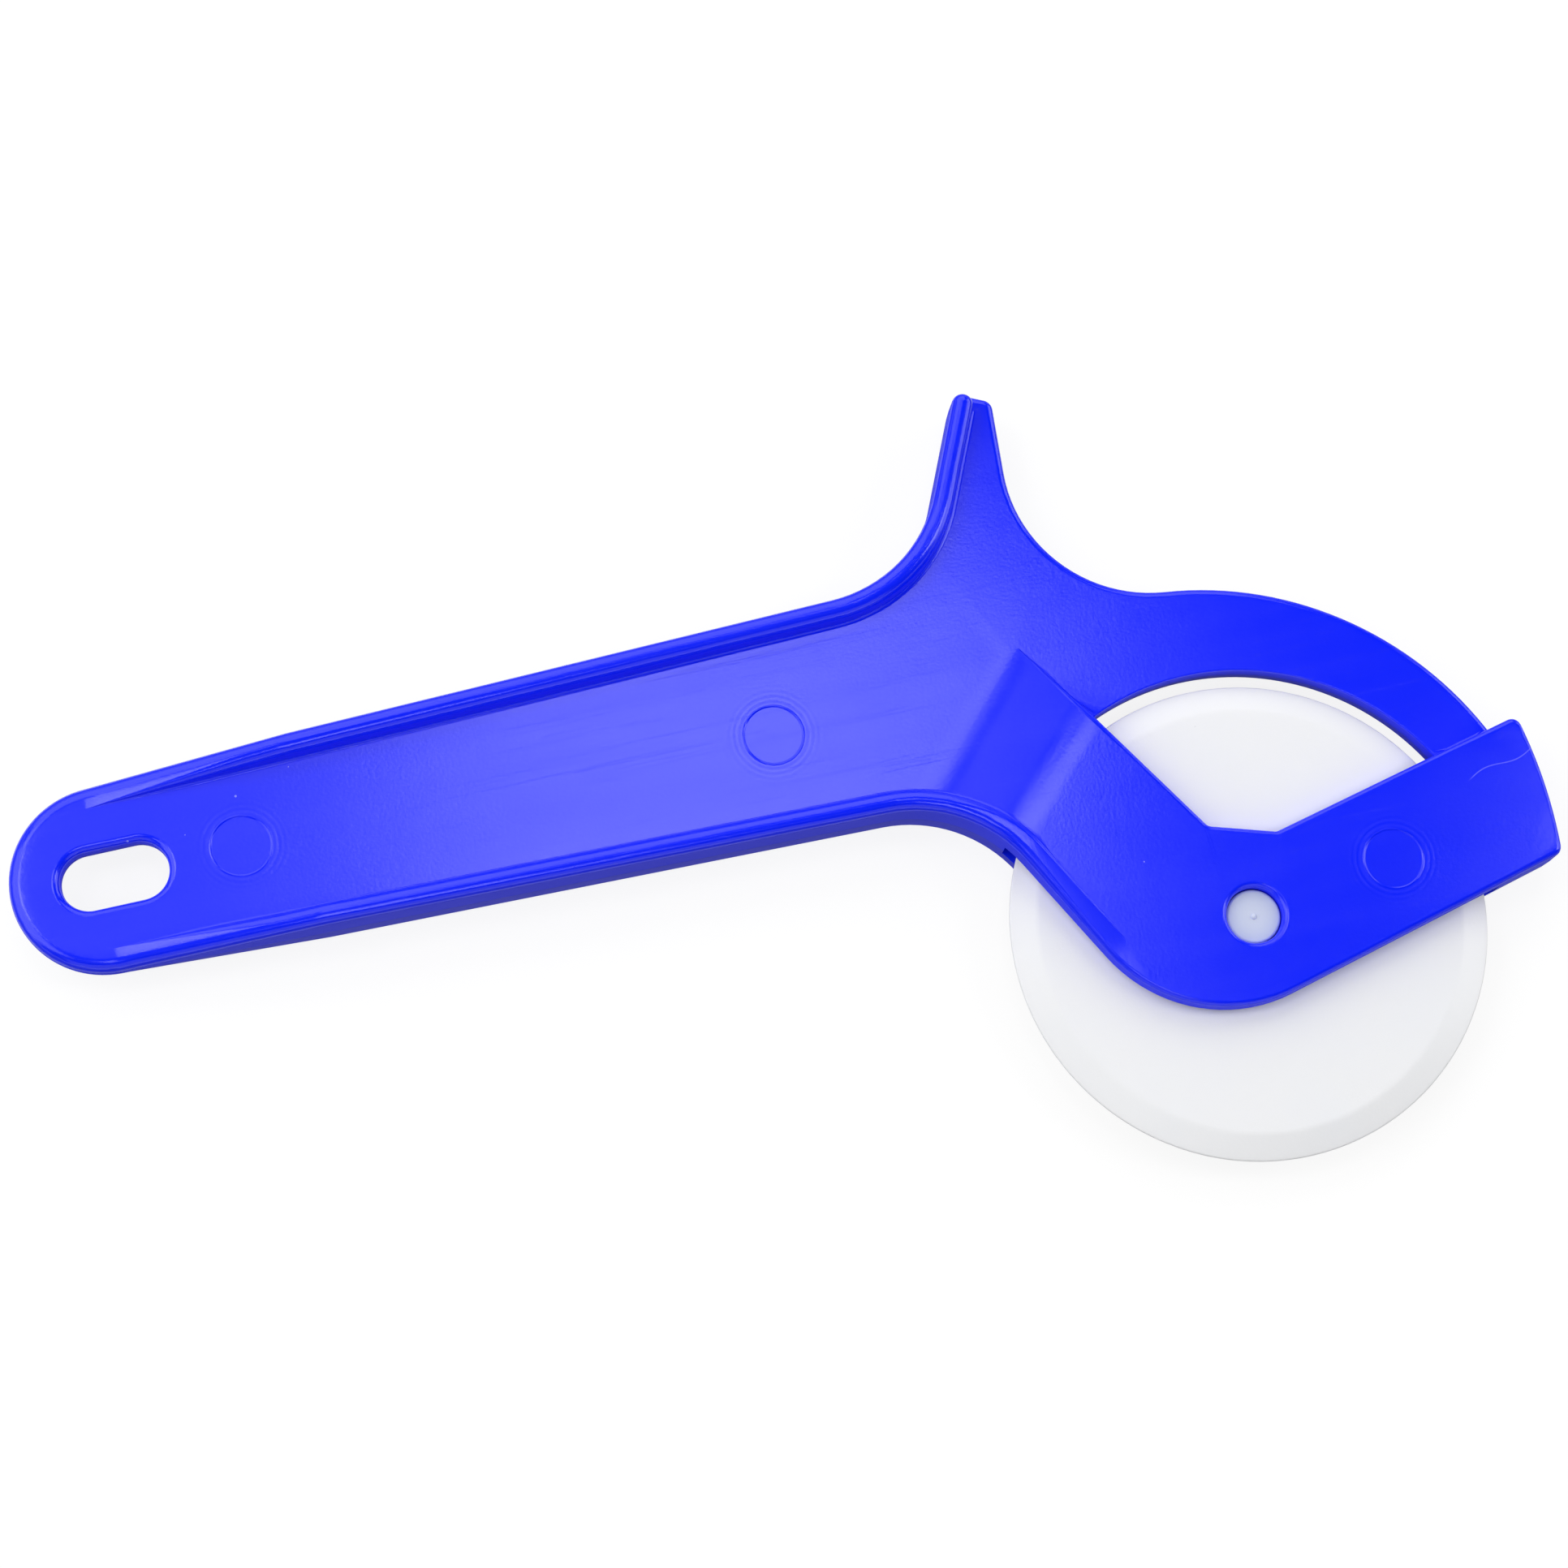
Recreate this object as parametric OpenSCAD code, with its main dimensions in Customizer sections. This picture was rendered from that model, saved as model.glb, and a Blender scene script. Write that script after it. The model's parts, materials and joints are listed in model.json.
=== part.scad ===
// Pizza cutter moulded in two pieces: a one-piece handle with a fork, and a
// plastic wheel whose stub axles snap into the fork's legs.
// Plan sizes are measured from the wheel's axis, with X along the grip and Z
// along the axis. The handle is symmetric about the wheel's middle plane.

/* [Wheel] */
// Diameter of the cutting wheel
wheel_d = 61.6; // [56:0.2:68]
// Thickness of the flat disc
wheel_t = 2.2; // [1.8:0.1:2.4]
// Width of the bevel inside the cutting edge
bevel_w = 3.4; // [2:0.2:6]
// Thickness left at the cutting edge
edge_t = 0.5; // [0.3:0.1:1]
// Diameter of the two stub axles
axle_d = 7; // [6:0.5:8]
// Rounding of each stub's end
axle_round = 0.4; // [0.2:0.1:0.8]
// Depth of each stub's end below the leg's face
axle_sink = 0.8; // [0.5:0.1:1.2]
// Radial running clearance of a stub in its bore
bore_gap = 0.1; // [0.05:0.01:0.1]
// Radius of the moulding gate's nub on the front stub
gate_r = 0.45; // [0.3:0.05:0.6]
// Height of the moulding gate's nub
gate_h = 0.25; // [0.1:0.05:0.5]

/* [Fork] */
// Space between the two legs
slot_w = 3.1; // [3:0.1:3.6]
// Thickness of each leg
leg_t = 2.55; // [2.2:0.05:3]
// Clearance from the wheel's rim to the arch and the slot's end
rim_gap = 1.8; // [1.5:0.1:3]
// Rounded lead-in of each bore
lead_in = 0.7; // [0.4:0.1:1]
// Radius of the hub's rounded underside
hub_r = 19.5; // [16:0.1:21]
// Centre of the hub's underside along X, from the axis
hub_x = -2.2; // [-4:0.1:0]
// Centre of the hub's underside along Y, from the axis
hub_y = 8.4; // [6:0.1:9]
// Angle of the leg's outer edge, which comes down from the grip
shin_a = -62.4; // [-68:0.2:-56]
// Angle of the leg's upper edge beside the window
shin_top_a = -58.5; // [-64:0.5:-54]
// Slope of the arm's lower edge, which runs from the hub to the nose
arm_a = 13.6; // [8:0.2:20]
// Taper of the arm's upper edge, in degrees
arm_taper = 1.3; // [0:0.1:3]
// Width of the arm at the hub
arm_w = 19.3; // [17:0.1:21]
// Length of the window's lower edge above the hub, along X
saddle_x = 8.4; // [6:0.2:12]
// Rise of that edge towards the grip, along Y
saddle_y = 2.65; // [1:0.05:4]
// Distance from the axis to that edge's end on the arm, along X
saddle_end = 5.7; // [4:0.1:9]
// Rounding of the window's corners, in plan
window_round = 1; // [0.6:0.1:2]
// Rounding of the fork's edges
leg_round = 0.7; // [0.3:0.1:0.7]
// Wall of the nose beyond the wheel's slot
nose_w = 8.9; // [5:0.1:12]
// Radius of the nose's bowed end
nose_r = 60; // [40:1:90]
// Height of the bow's middle above the axis
nose_y = 6.4; // [4:0.2:10]
// Rounding of the nose's corners
nose_round = 1.3; // [1:0.1:1.6]
// Length of the ramp from the web up to the leg's face
ramp_l = 11.6; // [8:0.2:16]
// Direction of the climb up the ramp
ramp_a = -44; // [-50:1:-38]
// Distance from the slot's end to the top of the ramp
ramp_back = 1.3; // [0.6:0.1:2]
// Reach of the rounding on each side of the ramp's two creases
crease = 1.5; // [0.5:0.1:2.5]

/* [Arch] */
// Width of the arch where it is widest
arch_w = 12.1; // [9:0.1:14]
// Shift of the arch's outer circle towards the grip
arch_shift = 4.25; // [2:0.05:6]

/* [Grip] */
// Distance from the axis to the centre of the butt's round end
reach = 139.5; // [110:0.5:170]
// Height of the grip's centre line above the axis
grip_y = 37.55; // [35:0.05:41]
// Radius of the butt's round end
butt_r = 12; // [10:0.25:14]
// Taper of each edge of the grip, in degrees
taper = 1.5; // [0:0.1:2.5]
// Thickness of the web, the arch and the butt
web_t = 3.6; // [3.2:0.1:4.4]
// Width of the rims along the grip's edges
rim_w = 2.9; // [2.6:0.1:3.6]
// Thickness of the grip over both rims
rim_t = 10; // [9.2:0.2:13]
// Rounding of the rims
rim_round = 1.15; // [0.8:0.05:1.25]
// Radius of the cove where a rim's side meets the web
root = 0.6; // [0.3:0.1:0.8]
// Draft of the rims' sides from the parting line, in degrees
draft = 1; // [0:0.5:2]
// Length over which a rim rises from the butt to its full height
rise_l = 26; // [20:1:50]
// Radius of the finger curve under the grip
throat_r = 17.9; // [14:0.1:22]

/* [Guard] */
// Height of the guard's tip above the grip's centre line
guard_h = 38.1; // [32:0.1:42]
// Distance from the axis to the tip's grip side, along X
guard_x = 20.2; // [16:0.2:24]
// Width of the tip
guard_w = 5.4; // [4.6:0.1:7]
// Angle of the guard's grip side
guard_a = 65; // [58:0.2:70]
// Angle of the guard's other flank
flank_a = 85; // [80:0.5:90]
// Radius between the grip and the guard
crook_r = 18.5; // [14:0.5:24]
// Radius between the guard and the arch
flank_r = 19.1; // [14:0.1:24]
// Rounding of the tip's far corner, in plan
tip_r = 1.5; // [1.3:0.1:1.8]
// Reach of the web past the rim's round end at the tip
tip_over = 0.75; // [0.5:0.05:1]

/* [Edges and slot] */
// Rounding of the web's open edges
edge_round = 1; // [0.3:0.1:1]
// Length of the hanging slot
slot_l = 13.6; // [12:0.2:18]
// Height of the hanging slot
slot_h = 7.4; // [6:0.1:10]
// Distance from the butt's centre to the slot's
slot_x = 1.2; // [0:0.1:3]
// Bevel round the slot's mouth
slot_bevel = 0.5; // [0.2:0.1:0.8]
// Diameter of the ejector marks
mark_d = 7.5; // [5:0.5:9]
// Depth of the ejector marks
mark_depth = 0.12; // [0.05:0.01:0.2]
// Distance from the butt's centre to the mark beside the slot
slot_mark_x = 17.8; // [15:0.2:24]
// Distance from the butt's centre to the mark on the web's wide end
web_mark_x = 86.3; // [70:0.5:92]
// Distance of that mark below the grip's centre line
web_mark_y = 0.8; // [0:0.1:3]
// Distance from the axis to the mark on the arm, along X
arm_mark_x = 19.4; // [16:0.2:22]
// Height of the mark on the arm above the axis
arm_mark_y = 3; // [2:0.1:5]

/* [Hidden] */
$fn = 96;

function dir(a) = [cos(a), sin(a)];

// Where the line through p at angle a meets the line through q at angle b
function meet(p, a, q, b) = p + dir(a) * cross(q - p, dir(b)) / cross(dir(a), dir(b));

// Distance from p along angle a to the nearer side of a circle
function run_to(p, a, c, r) =
    let (along = (c - p) * dir(a))
    along - sqrt(r * r - (c - p) * (c - p) + along * along);

// An outline is a row of stations: a place, and the angle that points into the
// plastic. Outlines run anticlockwise, so an arc that turns left bulges out
function bend(c, r, a0, a1, pitch) =
    let (n = ceil(abs(a1 - a0) / pitch))
    [for (i = [0:n])
        let (a = a0 + (a1 - a0) * i / n)
        [c + r * dir(a), a1 > a0 ? a + 180 : a]];

// A rounded corner at b, on the way from a to c
function corner(a, b, c, r) =
    let (
        u = (a - b) / norm(a - b),
        v = (c - b) / norm(c - b),
        half = acos(u * v) / 2,
        centre = b + (u + v) / norm(u + v) * r / sin(half),
        side = sign(cross(b - a, c - b)),
        a0 = atan2(b.y - a.y, b.x - a.x) - 90 * side
    )
    bend(centre, r, a0, a0 + side * (180 - 2 * half), corner_pitch);

// The places of an outline's stations, moved into the plastic
function inset(outline, depth) = [for (s = outline) s[0] + depth * dir(s[1])];

wheel_r = wheel_d / 2;
cavity_r = wheel_r + rim_gap;
leg_z = slot_w / 2 + leg_t;
axle_z = leg_z - axle_sink;
bore_r = axle_d / 2 + bore_gap;
rim_z = rim_t / 2;
web_z = web_t / 2;
seat = 0.1;             // how far one shape starts inside the next
flat = 0.02;            // least flat left between two roundings
rim_steps = 4;          // facets in a quarter round of a rim
cove_steps = 3;         // facets in the cove at a rim's foot
edge_steps = 3;         // facets in a quarter round of an open edge
crease_steps = 3;       // sections on each side of a crease of the ramp
rise_steps = 4;         // sections while a rim rises from the butt
tip_steps = 3;          // sections in the round tip of the guard's rim
tip_a = 75;             // slope of the first of them
bow_steps = 6;          // parts of the nose's bowed end
nose_step = 3;          // chord that gives the nose's slope at a corner
shin_lead = 3;          // how far up the leg the fork's edge starts, inside the rim
bend_pitch = 6;         // degrees between sections on a bend
corner_pitch = 18;      // degrees between sections round a corner
leg_back = 30;          // a length along the leg's upper edge that reaches the web

// The grip's round end, and where its edges leave it
butt_c = [-reach, grip_y];
top_p = butt_c + butt_r * dir(90 + taper);
low_p = butt_c + butt_r * dir(-90 - taper);

// The hub's underside, the leg's outer edge and the finger curve
hub_c = [hub_x, hub_y];
shin_p = hub_c + hub_r * dir(shin_a - 90);
throat_c = meet(low_p + throat_r * dir(-90 - taper), -taper, shin_p + throat_r * dir(shin_a - 90), shin_a);

// The guard and the curve behind it
tip_y = grip_y + guard_h;
guard_p = [-guard_x, tip_y];
crook_c = meet(top_p + crook_r * dir(90 + taper), taper, guard_p + crook_r * dir(guard_a + 90), guard_a);
post_c = meet(guard_p + rim_w / 2 * dir(guard_a - 90), guard_a, [0, tip_y - rim_w / 2], 0);

// The arch, and the curve that joins it to the guard's far flank
arch_r = cavity_r + arch_w;
arch_c = [-arch_shift, 0];
flank_p = guard_p + [guard_w, 0];
flank_q = flank_p + flank_r * dir(flank_a - 90);
flank_c = flank_q - run_to(flank_q, flank_a + 180, arch_c, arch_r + flank_r) * dir(flank_a);
join_a = atan2(flank_c.y - arch_c.y, flank_c.x - arch_c.x);
tip_end = post_c + (rim_w / 2 + tip_over) * dir(guard_a);
tip_c = meet(flank_p + tip_r * dir(flank_a + 90), flank_a, tip_end - tip_r * dir(guard_a), guard_a - 90);
arch_start = 12;        // where the arch's edge leaves the nose, in degrees

// The arm, the nose and the corners of the window
arm_p = hub_c + hub_r * dir(arm_a - 90);
arm_top = arm_p + arm_w * dir(arm_a + 90);
arm_top_a = arm_a - arm_taper;
nose_c = [cavity_r + nose_w - nose_r, nose_y];
nose_low = meet(arm_p, arm_a, [nose_c.x + nose_r, 0], 90);
nose_high = meet(arm_top, arm_top_a, [nose_c.x + nose_r, 0], 90);
function nose_at(y) = [nose_c.x + sqrt(nose_r * nose_r - pow(y - nose_c.y, 2)), y];
saddle_b = meet(arm_top, arm_top_a, [saddle_end, 0], 90);
saddle_a = saddle_b + [-saddle_x, saddle_y];
shin_top = saddle_a - leg_back * dir(shin_top_a);

// The ramp climbs along ramp_a, at right angles to its two creases
ramp_end = ramp_back - cavity_r;
function eased(x) = x < -crease ? 0 : x > crease ? x : pow(x + crease, 2) / (4 * crease);
function ramp_z(u) =
    u >= ramp_end + crease ? leg_z
    : web_z - flat + (leg_z - web_z + flat) * (eased(u - ramp_end + ramp_l) - eased(u - ramp_end)) / ramp_l;
function ramp_edge(u) = meet(saddle_a, shin_top_a, u * dir(ramp_a), ramp_a + 90);
function ramp_w(u) = run_to(ramp_edge(u), ramp_a - 90, throat_c, throat_r + rim_w / 2);
ramp_u = concat(
    [ramp_end + crease + 2 * seat],
    [for (i = [crease_steps:-1:-crease_steps]) ramp_end + crease * i / crease_steps],
    [for (i = [crease_steps:-1:-crease_steps]) ramp_end - ramp_l + crease * i / crease_steps]
);

// Outlines. The rim's run from the guard over the grip and down to the hub
crook_edge = bend(crook_c, crook_r, guard_a - 90, taper - 90, bend_pitch);
butt_edge = bend(butt_c, butt_r, 90 + taper, 270 - taper, bend_pitch);
throat_edge = bend(throat_c, throat_r, 90 - taper, 90 + shin_a, bend_pitch);

// The fork's, from the hub under the arm, round the nose and along the window
fork_edge = concat(
    bend(hub_c, hub_r, shin_a - 90, arm_a - 90, bend_pitch),
    corner(arm_p, nose_at(nose_low.y), nose_at(nose_low.y + nose_step), nose_round),
    [for (i = [1:bow_steps - 1])
        let (y = nose_low.y + (nose_high.y - nose_low.y) * i / bow_steps)
        [nose_at(y), 180 + asin((y - nose_c.y) / nose_r)]],
    corner(nose_at(nose_high.y - nose_step), nose_at(nose_high.y), saddle_b, nose_round),
    corner(nose_high, saddle_b, saddle_a, window_round),
    corner(saddle_b, saddle_a, shin_top, window_round)
);

// The open one, from the nose over the arch and up to the guard's tip
open_edge = concat(
    bend(arch_c, arch_r, arch_start, join_a, bend_pitch),
    bend(flank_c, flank_r, join_a + 180, flank_a + 90, bend_pitch),
    bend(tip_c, tip_r, flank_a - 90, guard_a, corner_pitch),
    [[tip_end, guard_a + 180]]
);

// The web reaches into the strips that carry its rims and edges
web_plan = concat(
    inset(butt_edge, rim_w / 2),
    inset(throat_edge, rim_w / 2),
    [[0, 0]],
    inset(open_edge, edge_round + seat),
    inset(crook_edge, rim_w / 2)
);

// The flat of a leg, its arm and the nose ends just behind the top of the ramp
leg_end = ramp_end + crease + seat;
leg_plan = concat(
    [ramp_edge(leg_end) + ramp_w(leg_end) * dir(ramp_a - 90)],
    inset([throat_edge[len(throat_edge) - 1]], rim_w / 2),
    inset(fork_edge, leg_round + seat),
    [ramp_edge(leg_end) + (leg_round + seat) * dir(ramp_a - 90)]
);

// Sections lie square to the outline: x runs inwards from it, y is the height.
// Section of a rim, with a cove that stays inside the web while the rim is low
function rim_section(h, w, r, foot) =
    let (
        cove = min(root * w / rim_w, (h - r) * 0.6),
        cove_y = min(foot, h - r - cove) - flat,
        upper = concat(
            [for (k = [0:cove_steps]) [w + cove, cove_y + cove] + cove * dir(270 - 90 * k / cove_steps)],
            [for (k = [0:rim_steps]) [w - r, h - r] + r * dir(90 * k / rim_steps)],
            [for (k = [0:rim_steps]) [r, h - r] + r * dir(90 + 90 * k / rim_steps)]
        ),
        leaned = [for (q = upper) q + [(q.x < w / 2 ? 1 : -1) * q.y * tan(draft), 0]]
    )
    concat([[0, 0]], [for (i = [len(leaned) - 1:-1:0]) [leaned[i].x, -leaned[i].y]], leaned);

// Section of an open edge, rounded on its outer side only
function edge_section(h, r, w) = concat(
    [for (k = [0:edge_steps]) [r, r - h] + r * dir(180 + 90 * k / edge_steps)],
    [[w, -h], [w, h]],
    [for (k = [0:edge_steps]) [r, h - r] + r * dir(90 + 90 * k / edge_steps)]
);

// A section set up at a station of an outline
function placed(section, s) = [for (q = section) let (p = s[0] + q.x * dir(s[1])) [p.x, p.y, q.y]];

// A rim's section there; its cove stands on the web or on the ramp at its foot
function rim_ring(s, h, w = rim_w, r = rim_round) =
    let (foot = ramp_z((s[0] + rim_w * dir(s[1])) * dir(ramp_a)))
    placed(rim_section(h, w, min(r, w / 2 - flat), foot), s);

module loft(rings) {
    n = len(rings[0]);
    last = (len(rings) - 1) * n;
    polyhedron(
        points = [for (ring = rings) each ring],
        faces = concat(
            [[for (j = [0:n - 1]) j]],
            [for (i = [0:n:last - n], j = [0:n - 1])
                let (k = (j + 1) % n)
                each [[i + k, i + j, i + n + j], [i + k, i + n + j, i + n + k]]],
            [[for (j = [n - 1:-1:0]) last + j]]
        ),
        convexity = 8
    );
}

// The web, bored out for the wheel and open beyond the arch's inner edge
module web() {
    difference() {
        linear_extrude(web_t, center = true)
            polygon(web_plan);
        cylinder(r = cavity_r, h = 2 * web_t, center = true);
    }
}

// One rim from the guard's tip along the top of the grip, round the butt at
// the web's height, back under the grip and down the leg to the hub
module rim() {
    guard_in = guard_a - 90;
    loft(concat(
        [for (k = [tip_steps:-1:0])
            let (
                a = tip_a * k / tip_steps,
                w = rim_w * cos(a),
                p = post_c + rim_w / 2 * sin(a) * dir(guard_a) - w / 2 * dir(guard_in)
            )
            rim_ring([p, guard_in], rim_z - rim_round * (1 - cos(a)), w)],
        [for (s = crook_edge) rim_ring(s, rim_z)],
        [for (i = [rise_steps:-1:1])
            rim_ring([top_p + rise_l * i / rise_steps * dir(taper), taper - 90],
                web_z + (rim_z - web_z) * i / rise_steps)],
        [for (s = butt_edge) rim_ring(s, web_z)],
        [for (i = [1:rise_steps])
            rim_ring([low_p + rise_l * i / rise_steps * dir(-taper), 90 - taper],
                web_z + (rim_z - web_z) * i / rise_steps)],
        [for (s = throat_edge) rim_ring(s, rim_z)],
        [rim_ring([shin_p + flat * dir(shin_a + 90), shin_a + 90], leg_z - seat, rim_w, leg_round)]
    ));
}

// Rounded edge of the arch and the guard
module arch_rim() {
    loft([for (s = open_edge) placed(edge_section(web_z, edge_round, edge_round + 2 * seat), s)]);
}

// Both legs as one block, which the wheel's slot parts: a flat with a rounded
// edge, whose last sections widen into the ramp down to the web
module fork() {
    linear_extrude(2 * leg_z, center = true)
        polygon(leg_plan);
    lead = shin_p - shin_lead * dir(shin_a) + rim_w / 2 * dir(shin_a + 90);
    loft(concat(
        [placed(edge_section(leg_z - seat, leg_round, leg_round + 2 * seat), [lead, shin_a + 90])],
        [for (s = fork_edge) placed(edge_section(leg_z, leg_round, leg_round + 2 * seat), s)],
        [for (u = ramp_u) placed(edge_section(ramp_z(u), leg_round, ramp_w(u)), [ramp_edge(u), ramp_a - 90])]
    ));
}

module both_sides() {
    for (m = [0, 1])
        mirror([0, 0, m])
            children();
}

// Slot to hang the cutter by, bevelled at both mouths
module hanging_slot() {
    half = (slot_l - slot_h) / 2;
    wide = slot_h / 2 + slot_bevel + seat;
    translate([butt_c.x + slot_x, butt_c.y, 0]) {
        for (x = [-half, half])
            translate([x, 0, 0])
                cylinder(d = slot_h, h = 2 * web_t, center = true);
        cube([2 * half, slot_h, 2 * web_t], center = true);
        both_sides()
            translate([0, 0, web_z - slot_bevel]) {
                for (x = [-half, half])
                    translate([x, 0, 0])
                        cylinder(r1 = slot_h / 2, r2 = wide, h = slot_bevel + seat);
                rotate([90, 0, 90])
                    linear_extrude(2 * half, center = true)
                        polygon([
                            [-slot_h / 2, 0], [slot_h / 2, 0],
                            [wide, slot_bevel + seat], [-wide, slot_bevel + seat]
                        ]);
            }
    }
}

// Bore through both legs, with a rounded lead-in on each face
module axle_bore() {
    cylinder(r = bore_r, h = 3 * leg_z, center = true);
    both_sides()
        translate([0, 0, leg_z])
            rotate_extrude()
                difference() {
                    translate([0, -lead_in]) square([bore_r + lead_in, lead_in + seat]);
                    translate([bore_r + lead_in, -lead_in]) circle(lead_in);
                }
}

module ejector_marks() {
    marks = [
        [slot_mark_x - reach, grip_y, web_z],
        [web_mark_x - reach, grip_y - web_mark_y, web_z],
        [arm_mark_x, arm_mark_y, leg_z]
    ];
    for (p = marks)
        translate([p.x, p.y, p.z - mark_depth])
            cylinder(d = mark_d, h = web_t);
}

module handle() {
    color([0.16, 0.16, 0.95])
        difference() {
            union() {
                web();
                rim();
                arch_rim();
                fork();
            }
            cylinder(r = cavity_r, h = slot_w, center = true);
            axle_bore();
            hanging_slot();
            ejector_marks();
        }
}

// Half of the wheel's section, from the axis out to the cutting edge
module wheel_section() {
    round_x = axle_d / 2 - axle_round;
    round_y = axle_z - axle_round;
    polygon([
        [0, -wheel_t / 2], [wheel_r - bevel_w, -wheel_t / 2], [wheel_r, -edge_t / 2],
        [wheel_r, edge_t / 2], [wheel_r - bevel_w, wheel_t / 2], [0, wheel_t / 2]
    ]);
    translate([0, -round_y])
        square([axle_d / 2, 2 * round_y]);
    translate([0, -axle_z])
        square([round_x, 2 * axle_z]);
    for (y = [-round_y, round_y])
        translate([round_x, y])
            circle(axle_round);
}

module cutting_wheel() {
    color([0.93, 0.93, 0.95]) {
        rotate_extrude()
            wheel_section();
        translate([0, 0, axle_z - seat])
            cylinder(r1 = gate_r, r2 = gate_r / 2, h = gate_h + seat);
    }
}

// Lies on the rims of one side, centred over its own footprint
x_min = butt_c.x - butt_r;
x_max = nose_c.x + nose_r;
place = [-(x_min + x_max) / 2, -(tip_end.y - wheel_r) / 2, rim_z];

translate(place) handle();
translate(place) cutting_wheel();
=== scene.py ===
"""Pizza cutter: a blue moulded handle and the white wheel that snaps into its fork.

The handle is drawn as a plan of lines and arcs round the wheel's axis. Every edge, rim
and ramp gives a height over that plan, so the two faces are one clean moulded skin.
"""
import json
import logging
import math
from dataclasses import dataclass, field
from enum import Enum
from typing import Callable, NamedTuple, Optional, Sequence, Union

import bmesh
import bpy
import numpy as np
from mathutils import Matrix, Vector
from mathutils.geometry import delaunay_2d_cdt


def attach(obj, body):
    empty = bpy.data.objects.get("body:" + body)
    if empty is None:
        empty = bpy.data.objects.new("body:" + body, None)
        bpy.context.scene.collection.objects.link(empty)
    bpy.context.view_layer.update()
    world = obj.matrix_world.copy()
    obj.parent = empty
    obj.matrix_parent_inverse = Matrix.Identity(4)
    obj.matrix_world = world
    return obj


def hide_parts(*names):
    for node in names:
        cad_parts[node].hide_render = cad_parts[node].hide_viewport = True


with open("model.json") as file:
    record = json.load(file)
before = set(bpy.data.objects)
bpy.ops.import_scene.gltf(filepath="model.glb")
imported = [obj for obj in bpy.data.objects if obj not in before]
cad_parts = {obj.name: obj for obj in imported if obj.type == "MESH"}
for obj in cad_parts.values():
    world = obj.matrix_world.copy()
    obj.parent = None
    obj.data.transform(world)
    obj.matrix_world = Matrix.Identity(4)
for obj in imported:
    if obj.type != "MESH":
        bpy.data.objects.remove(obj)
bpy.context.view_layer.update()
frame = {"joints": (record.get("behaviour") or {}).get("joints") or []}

MM = 0.001
FAR = 1e3  # farther than anything on the cutter, in millimetres
TINY = 1e-4  # too small to see, in millimetres
TOUCH = 1e-6  # as good as nothing, in millimetres or as a share of a length
SNAP = 1e-5  # points of the plan closer than this become one, in millimetres
MERGE = 1e-7  # points of the wheel closer than this become one, in metres
ARC_STEP = 4.0  # the most degrees between two points of an arc
STEADY = 3  # how many times farther apart points lie where an edge stays the same
SMOOTH_ANGLE = 35.0  # the sharpest bend that is shaded smooth, in degrees
FLAT_WEIGHT = 100  # how firmly broad faces keep their own direction in the shading
LOG = logging.getLogger("pizza_cutter")

Plan = np.ndarray  # points of the plan in millimetres, one row each


def heading(angle: float) -> np.ndarray:
    """The unit vector at an angle in degrees."""
    return np.array([math.cos(math.radians(angle)), math.sin(math.radians(angle))])


def crossing(p: np.ndarray, a: float, q: np.ndarray, b: float) -> np.ndarray:
    """Finds where two lines meet.

    Args:
        p: a point of the first line.
        a: the first line's angle in degrees.
        q: a point of the second line.
        b: the second line's angle in degrees.

    Returns:
        The point that both lines share.
    """
    u, v, w = heading(a), heading(b), q - p
    return p + u * (w[0] * v[1] - w[1] * v[0]) / (u[0] * v[1] - u[1] * v[0])


def distance(xy: Plan) -> np.ndarray:
    """How far each point lies from the origin."""
    return np.hypot(xy[:, 0], xy[:, 1])


def bend(centre: np.ndarray, radius: float, first: float, last: float, steps: int) -> list[np.ndarray]:
    """Finds points round an arc.

    Args:
        centre: the arc's centre.
        radius: its radius.
        first: the angle that it starts at, in degrees.
        last: the angle that it ends at.
        steps: how many chords it has.

    Returns:
        The points, both ends among them.
    """
    return [centre + radius * heading(first + (last - first) * k / steps) for k in range(steps + 1)]


class Kind(Enum):
    """What a stretch of outline carries."""

    BEAD = "bead"
    PLAIN = "plain"


class Sample(NamedTuple):
    """A point of an outline, with the section that stands there."""

    at: np.ndarray
    normal: np.ndarray
    top: float
    rounding: float
    kind: Kind

    def row(self, stations: Sequence[float]) -> list[np.ndarray]:
        """Points at distances inwards from the outline."""
        return [self.at + self.normal * s for s in stations]


@dataclass(frozen=True)
class Stretch:
    """One line or arc of an outline, walked with the plastic on its left."""

    kind: Kind
    tops: tuple[float, float]
    rounds: tuple[float, float]

    def section(self, f: np.ndarray) -> tuple[np.ndarray, np.ndarray]:
        """The top and the rounding at fractions of the length."""
        top, rounding = (a + (b - a) * f for a, b in (self.tops, self.rounds))
        return top, rounding

    def points(self, pitch: float) -> tuple[Plan, Plan, np.ndarray]:
        """Samples the stretch: points, inward normals and fractions of its length."""
        raise NotImplementedError

    def project(self, xy: Plan) -> tuple[np.ndarray, np.ndarray]:
        """The fraction of the length beside each point, and its distance inwards."""
        raise NotImplementedError


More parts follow.
